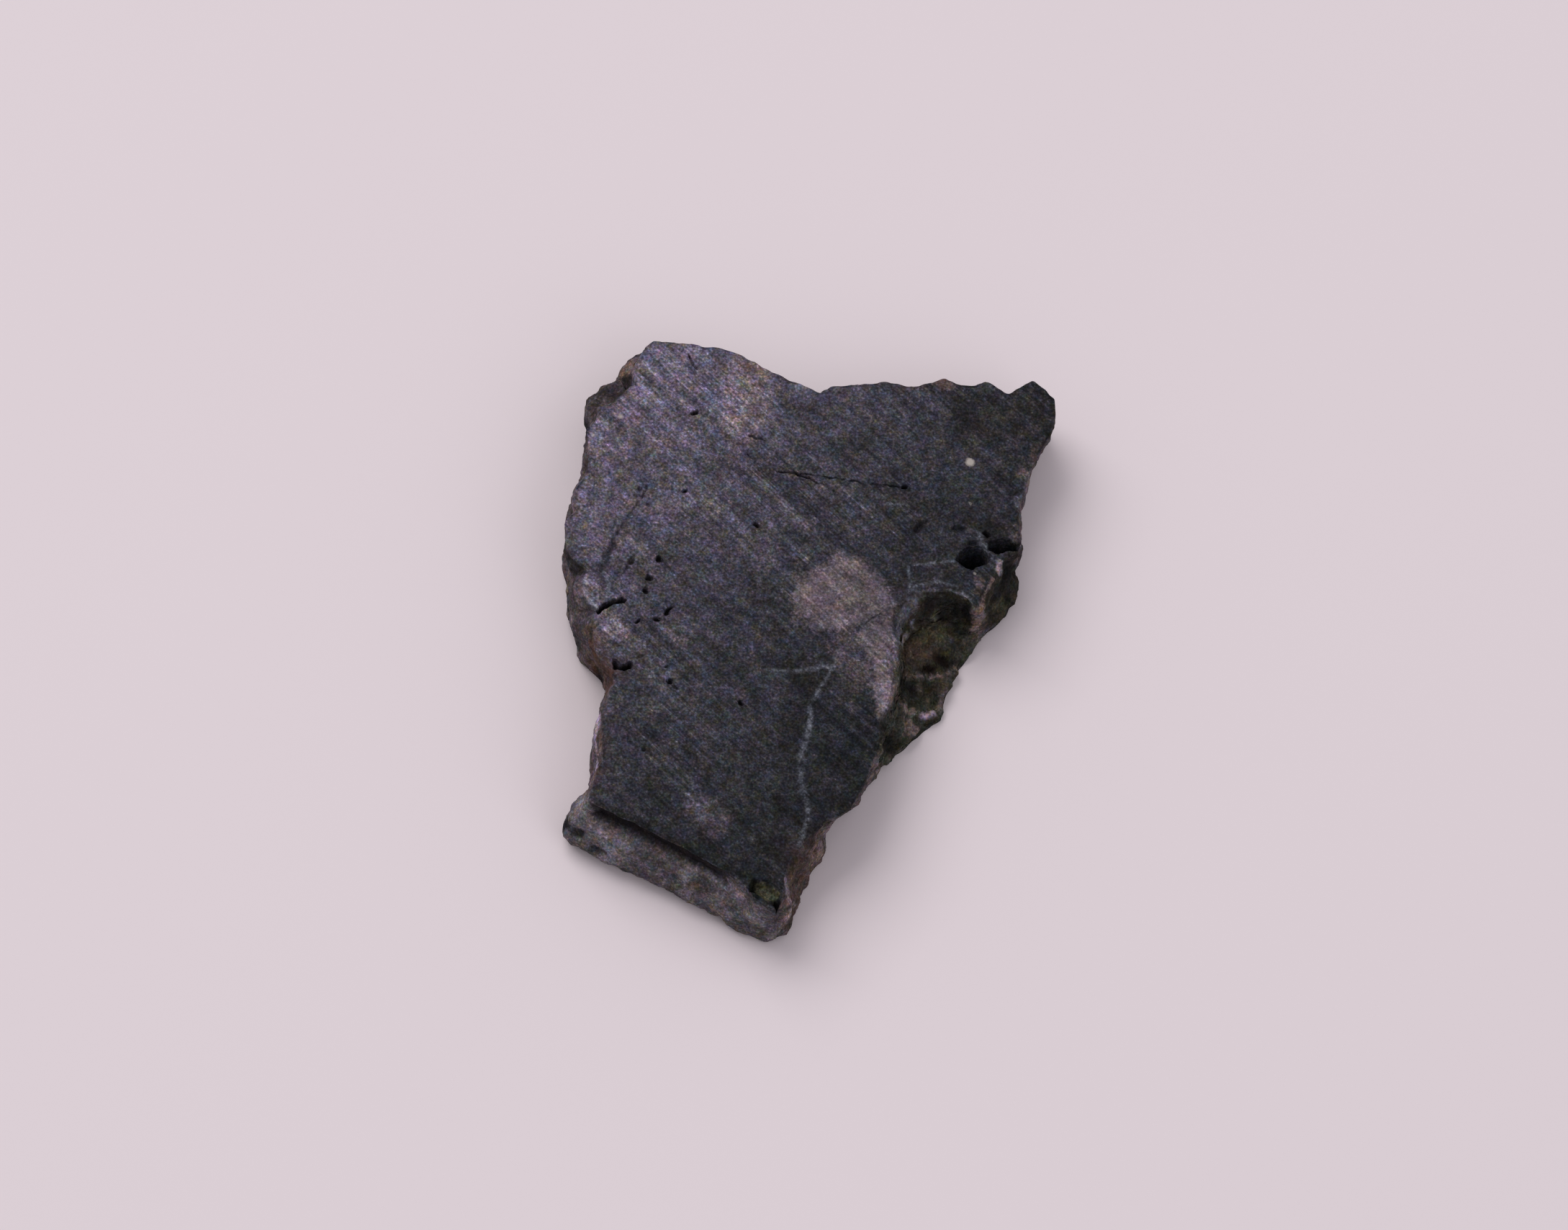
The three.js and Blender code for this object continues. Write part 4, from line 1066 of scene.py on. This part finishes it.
# %% Streaks left by the saw
# Grooves 0.03 to 0.2 mm wide and several mm long: the coordinates are turned to lie along the cut
# and divided by a length and a width, so that noise stretches along it. A cloudy mask lets the
# streaks show here and fade there. The thin scratches are the highest crests of one more noise.
CLOUD = 1.3                    # mm across
cloud = add("TexNoise", {0: place_mm, "Scale": 1 / CLOUD, "Detail": 2.0}, "Fac")
shown = add("MapRange", {0: cloud, 1: 0.38, 2: 0.62, 3: 0.25, 4: 1.0})
shown = add("Math", {0: sawn, 1: shown}, operation="MULTIPLY")
STREAKS = ((3.2, 0.05, 2.3), (5.0, 0.16, 2.1))      # length and width in mm, weight
for length, width, weight in STREAKS:
    cut_place = add("Mapping", {0: place_mm, "Rotation": (0, 0, math.radians(SAW_TURN)),
                                "Scale": (length, width, 1)}, vector_type="TEXTURE")
    streaks = add("TexNoise", {0: cut_place, "Scale": 1.0, "Detail": 2.0, "Roughness": 0.65}, "Fac")
    level = add("Math", {0: streaks, 1: 0.5}, operation="SUBTRACT")
    level = add("Math", {0: level, 1: shown}, operation="MULTIPLY")
    power = add("Math", {0: level, 1: weight, 2: power}, operation="MULTIPLY_ADD")
SCRATCH_LENGTH, SCRATCH_WIDTH = 1.6, 0.034          # mm
SCRATCH_TURN = SAW_TURN + 3                         # degrees from +X
cut_place = add("Mapping", {0: place_mm, "Rotation": (0, 0, math.radians(SCRATCH_TURN)),
                            "Scale": (SCRATCH_LENGTH, SCRATCH_WIDTH, 1)}, vector_type="TEXTURE")
scratches = add("TexNoise", {0: cut_place, "Scale": 1.0, "Detail": 1.0}, "Fac")
scratches = add("MapRange", {0: scratches, 1: 0.64, 2: 0.74, 3: 0.0, 4: 0.55})
power = add("Math", {0: scratches, 1: shown, 2: power}, operation="MULTIPLY_ADD")
FLECK = 0.05                   # mm across: single bright grains
fleck = add("TexNoise", {0: place_mm, "Scale": 1 / FLECK, "Detail": 2.0}, "Fac")
fleck = add("MapRange", {0: fleck, 1: 0.62, 2: 0.76, 3: 0.0, 4: 0.9})
power = add("Math", {0: power, 1: fleck}, operation="ADD")
print(len(tree.nodes), "nodes with the saw's streaks and scratches")

# %% The ground: bluish, purplish and greenish mottles
# The noise's own red and blue change the red and blue of the slow colour, and its green isn't used.
MOTTLE = 0.16                  # mm across
mottle = add("TexNoise", {0: place_mm, "Scale": 1 / MOTTLE, "Detail": 3.0, "Roughness": 1.0}, "Color")
hue = add("VectorMath", {0: mottle, 1: (1.8, 0.0, 2.4), 2: (0.1, 1.0, -0.2)}, operation="MULTIPLY_ADD")
ground = add("VectorMath", {0: slow, 1: hue}, operation="MULTIPLY")
print(len(tree.nodes), "nodes with the ground")

# %% Clasts, with ragged edges
# Crushed feldspar, mauve to tan. The number clast is a distance, and two noises tear its edge, one
# five times as wide as the other.
RAGGED = 0.055                 # mm across
MAUVE, TAN = "#746a74", "#796f66"
ragged = add("TexNoise", {0: place_mm, "Scale": 1 / RAGGED, "Detail": 3.0, "Roughness": 0.62}, "Fac")
wavy = add("TexNoise", {0: place_mm, "Scale": 0.2 / RAGGED, "Detail": 3.0, "Roughness": 0.62}, "Fac")
edge = add("Math", {0: ragged, 1: 0.24, 2: number["clast"]}, operation="MULTIPLY_ADD")
edge = add("Math", {0: wavy, 1: 0.36, 2: edge}, operation="MULTIPLY_ADD")
clast = add("MapRange", {0: edge, 1: 0.22, 2: 0.42, 3: 0.0, 4: 0.8}, interpolation_type="SMOOTHSTEP")
thin = add("MapRange", {0: wavy, 1: 0.36, 2: 0.6, 3: 1.0, 4: 0.62})
clast = add("Math", {0: clast, 1: thin}, operation="MULTIPLY")
tan_share = add("MapRange", {0: cloud, 1: 0.45, 2: 0.65, 3: 0.0, 4: 0.7})
clast_colour = add("Mix", {0: tan_share, 6: rgba(MAUVE), 7: rgba(TAN)}, 2, **RGB)
faint_hue = add("Mix", {0: 0.6, 6: (1, 1, 1, 1), 7: hue}, 2, **RGB)
clast_colour = add("VectorMath", {0: clast_colour, 1: faint_hue}, operation="MULTIPLY")
colour = add("Mix", {0: clast, 6: ground, 7: clast_colour}, 2, **RGB)
print(len(tree.nodes), "nodes with the clasts")

# %% Glass veins, then the lights and darks over all of these
# Clasts are crushed finer than the ground, and the breaks are dusty, so their contrast is weaker.
BEADS = 0.11                   # mm, length of the gaps and beads along a vein
VEIN_GLASS = "#777d88"
beads = add("TexNoise", {0: place_mm, "Scale": 1 / BEADS, "Detail": 3.0, "Roughness": 0.62}, "Fac")
beads = add("MapRange", {0: beads, 1: 0.36, 2: 0.64, 3: 0.08, 4: 0.62})
vein = add("Math", {0: number["vein"], 1: beads}, operation="MULTIPLY")
colour = add("Mix", {0: vein, 6: colour, 7: rgba(VEIN_GLASS)}, 2, **RGB)
calm = add("Math", {0: clast, 1: -0.3, 2: 1.0}, operation="MULTIPLY_ADD")
calm = add("Math", {0: number["broken"], 1: -0.2, 2: calm}, operation="MULTIPLY_ADD")
power = add("Math", {0: power, 1: calm}, operation="MULTIPLY")
tone = add("Math", {0: math.e, 1: power}, operation="POWER")
colour = add("VectorMath", {0: colour, "Scale": tone}, operation="SCALE")
print(len(tree.nodes), "nodes with the veins")

# %% White grains, rust, and painted shadow inside the openings
spot = add("Math", {0: ragged, 1: 0.05, 2: number["spot"]}, operation="MULTIPLY_ADD")
spot = add("MapRange", {0: spot, 1: 0.012, 2: 0.045, 3: 0.0, 4: 0.85})
rusty = add("Math", {0: number["rust"], 1: beads}, operation="MULTIPLY")
shadow = add("Math", {0: number["dark"], 1: 0.92}, operation="MULTIPLY")
WHITE_GRAIN, RUSTY, SHADOW = "#b5b0a6", "#5e3c2e", "#110f10"
for share, over in ((spot, WHITE_GRAIN), (rusty, RUSTY), (shadow, SHADOW)):
    colour = add("Mix", {0: share, 6: colour, 7: rgba(over)}, 2, **RGB)
print(len(tree.nodes), "nodes with the grains, the rust and the shadow")

# %% Relief too fine for the mesh, and the shader itself
SAW_BUMP, CRUMB_BUMP = 0.004, 0.016                 # mm
saw_relief = add("Math", {0: streaks, 1: sawn}, operation="MULTIPLY")        # the broader streaks
saw_normal = add("Bump", {"Strength": 0.6, "Distance": SAW_BUMP * MM, "Height": saw_relief})
crumbs = add("Math", {0: ragged, 1: 1.6, 2: grains}, operation="MULTIPLY_ADD")
loose = add("MapRange", {0: number["broken"], 3: 0.15, 4: 0.75})
crumbs = add("Math", {0: crumbs, 1: loose}, operation="MULTIPLY")
normal = add("Bump", {"Strength": 0.8, "Distance": CRUMB_BUMP * MM, "Height": crumbs,
                      "Normal": saw_normal})
matt = add("MapRange", {0: number["broken"], 3: 0.6, 4: 0.85})
shader = add("BsdfPrincipled", {"Base Color": colour, "Roughness": matt, "Normal": normal, "IOR": 1.55,
                                "Specular IOR Level": 0.05})
add("OutputMaterial", {"Surface": shader})
mesh.materials.append(finish)
print(finish.name, "has", len(tree.nodes), "nodes")

# %% Stand for the plain solid
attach(stone, "root")
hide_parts(NODE)
print("the skin stands for", NODE)

# %% [markdown]
# ## Floor, light and camera
# The slice lies on a plain board of uncoated card, which is matt and pale, so that the eye stays on
# the dark edge. One broad soft light stands behind it to the left, on the side where the cut's far
# corner has a sheen painted into its colour, and a weaker one opposite keeps the walls readable.

# %% Floor
FLOOR_HALF = 0.4               # m
FLOOR_GAP = 0.000004           # m, so that the board and the slice's lower face never share a plane
board = bpy.data.meshes.new("floor")
board.from_pydata([(x * FLOOR_HALF, y * FLOOR_HALF, -FLOOR_GAP)
                   for x, y in ((-1, -1), (1, -1), (1, 1), (-1, 1))], [], [(0, 1, 2, 3)])
floor = bpy.data.objects.new("floor", board)
bpy.context.collection.objects.link(floor)
card = bpy.data.materials.new("Matt card, uncoated")
card.use_nodes = True
for name, value in (("Base Color", rgba("#e6dfe0")), ("Roughness", 0.9), ("Specular IOR Level", 0.1)):
    card.node_tree.nodes["Principled BSDF"].inputs[name].default_value = value
board.materials.append(card)
print("the board is", 2 * FLOOR_HALF, "m wide")

# %% Lights
def soft_light(name, place, size, power, colour):
    """A square area light at a place in metres, turned to face the slice."""
    light = bpy.data.lights.new(name, "AREA")
    light.size, light.energy, light.color = size, power, linear(colour)
    lamp = bpy.data.objects.new(name, light)
    turn = Vector(place).to_track_quat("Z", "Y").to_matrix().to_4x4()
    lamp.matrix_world = Matrix.Translation(place) @ turn
    bpy.context.collection.objects.link(lamp)
    print(name, "gives", power, "W")


soft_light("window", (-0.16, 0.17, 0.26), 0.26, 0.72, "#fff8fb")
soft_light("reflector", (0.18, -0.2, 0.22), 0.24, 0.14, "#fdf6ff")
sky = bpy.data.worlds.new("studio")
sky.use_nodes = True
sky.node_tree.nodes["Background"].inputs["Color"].default_value = rgba("#f4eef6")
sky.node_tree.nodes["Background"].inputs["Strength"].default_value = 0.5
bpy.context.scene.world = sky
bpy.context.scene.view_settings.view_transform = "Standard"

# %% Camera
AZIMUTH, ELEVATION, ROLL = -19, 62, 19.3        # degrees
DISTANCE = 0.1205                               # m
AIM = Vector((-0.376, 0.4, 0.5)) * MM           # the place in the middle of the view
FOCAL_PIXELS, VIEW_WIDTH = 12000, 2178          # focal length and width of the view, both in pixels
SENSOR = 36                                     # mm
around, above, roll = (math.radians(angle) for angle in (AZIMUTH, ELEVATION, ROLL))
back = Vector((math.sin(around) * math.cos(above), -math.cos(around) * math.cos(above), math.sin(above)))
level_right = Vector((math.cos(around), math.sin(around), 0))
level_up = back.cross(level_right)
right = math.cos(roll) * level_right + math.sin(roll) * level_up
up = math.cos(roll) * level_up - math.sin(roll) * level_right
lens = bpy.data.cameras.new("camera")
lens.sensor_width, lens.lens, lens.clip_start = SENSOR, SENSOR * FOCAL_PIXELS / VIEW_WIDTH, 0.001
camera = bpy.data.objects.new("camera", lens)
turn = Matrix((right, up, back)).transposed().to_4x4()
camera.matrix_world = Matrix.Translation(AIM + DISTANCE * back) @ turn
bpy.context.collection.objects.link(camera)
bpy.context.scene.camera = camera
print("lens, mm:", round(lens.lens, 1))
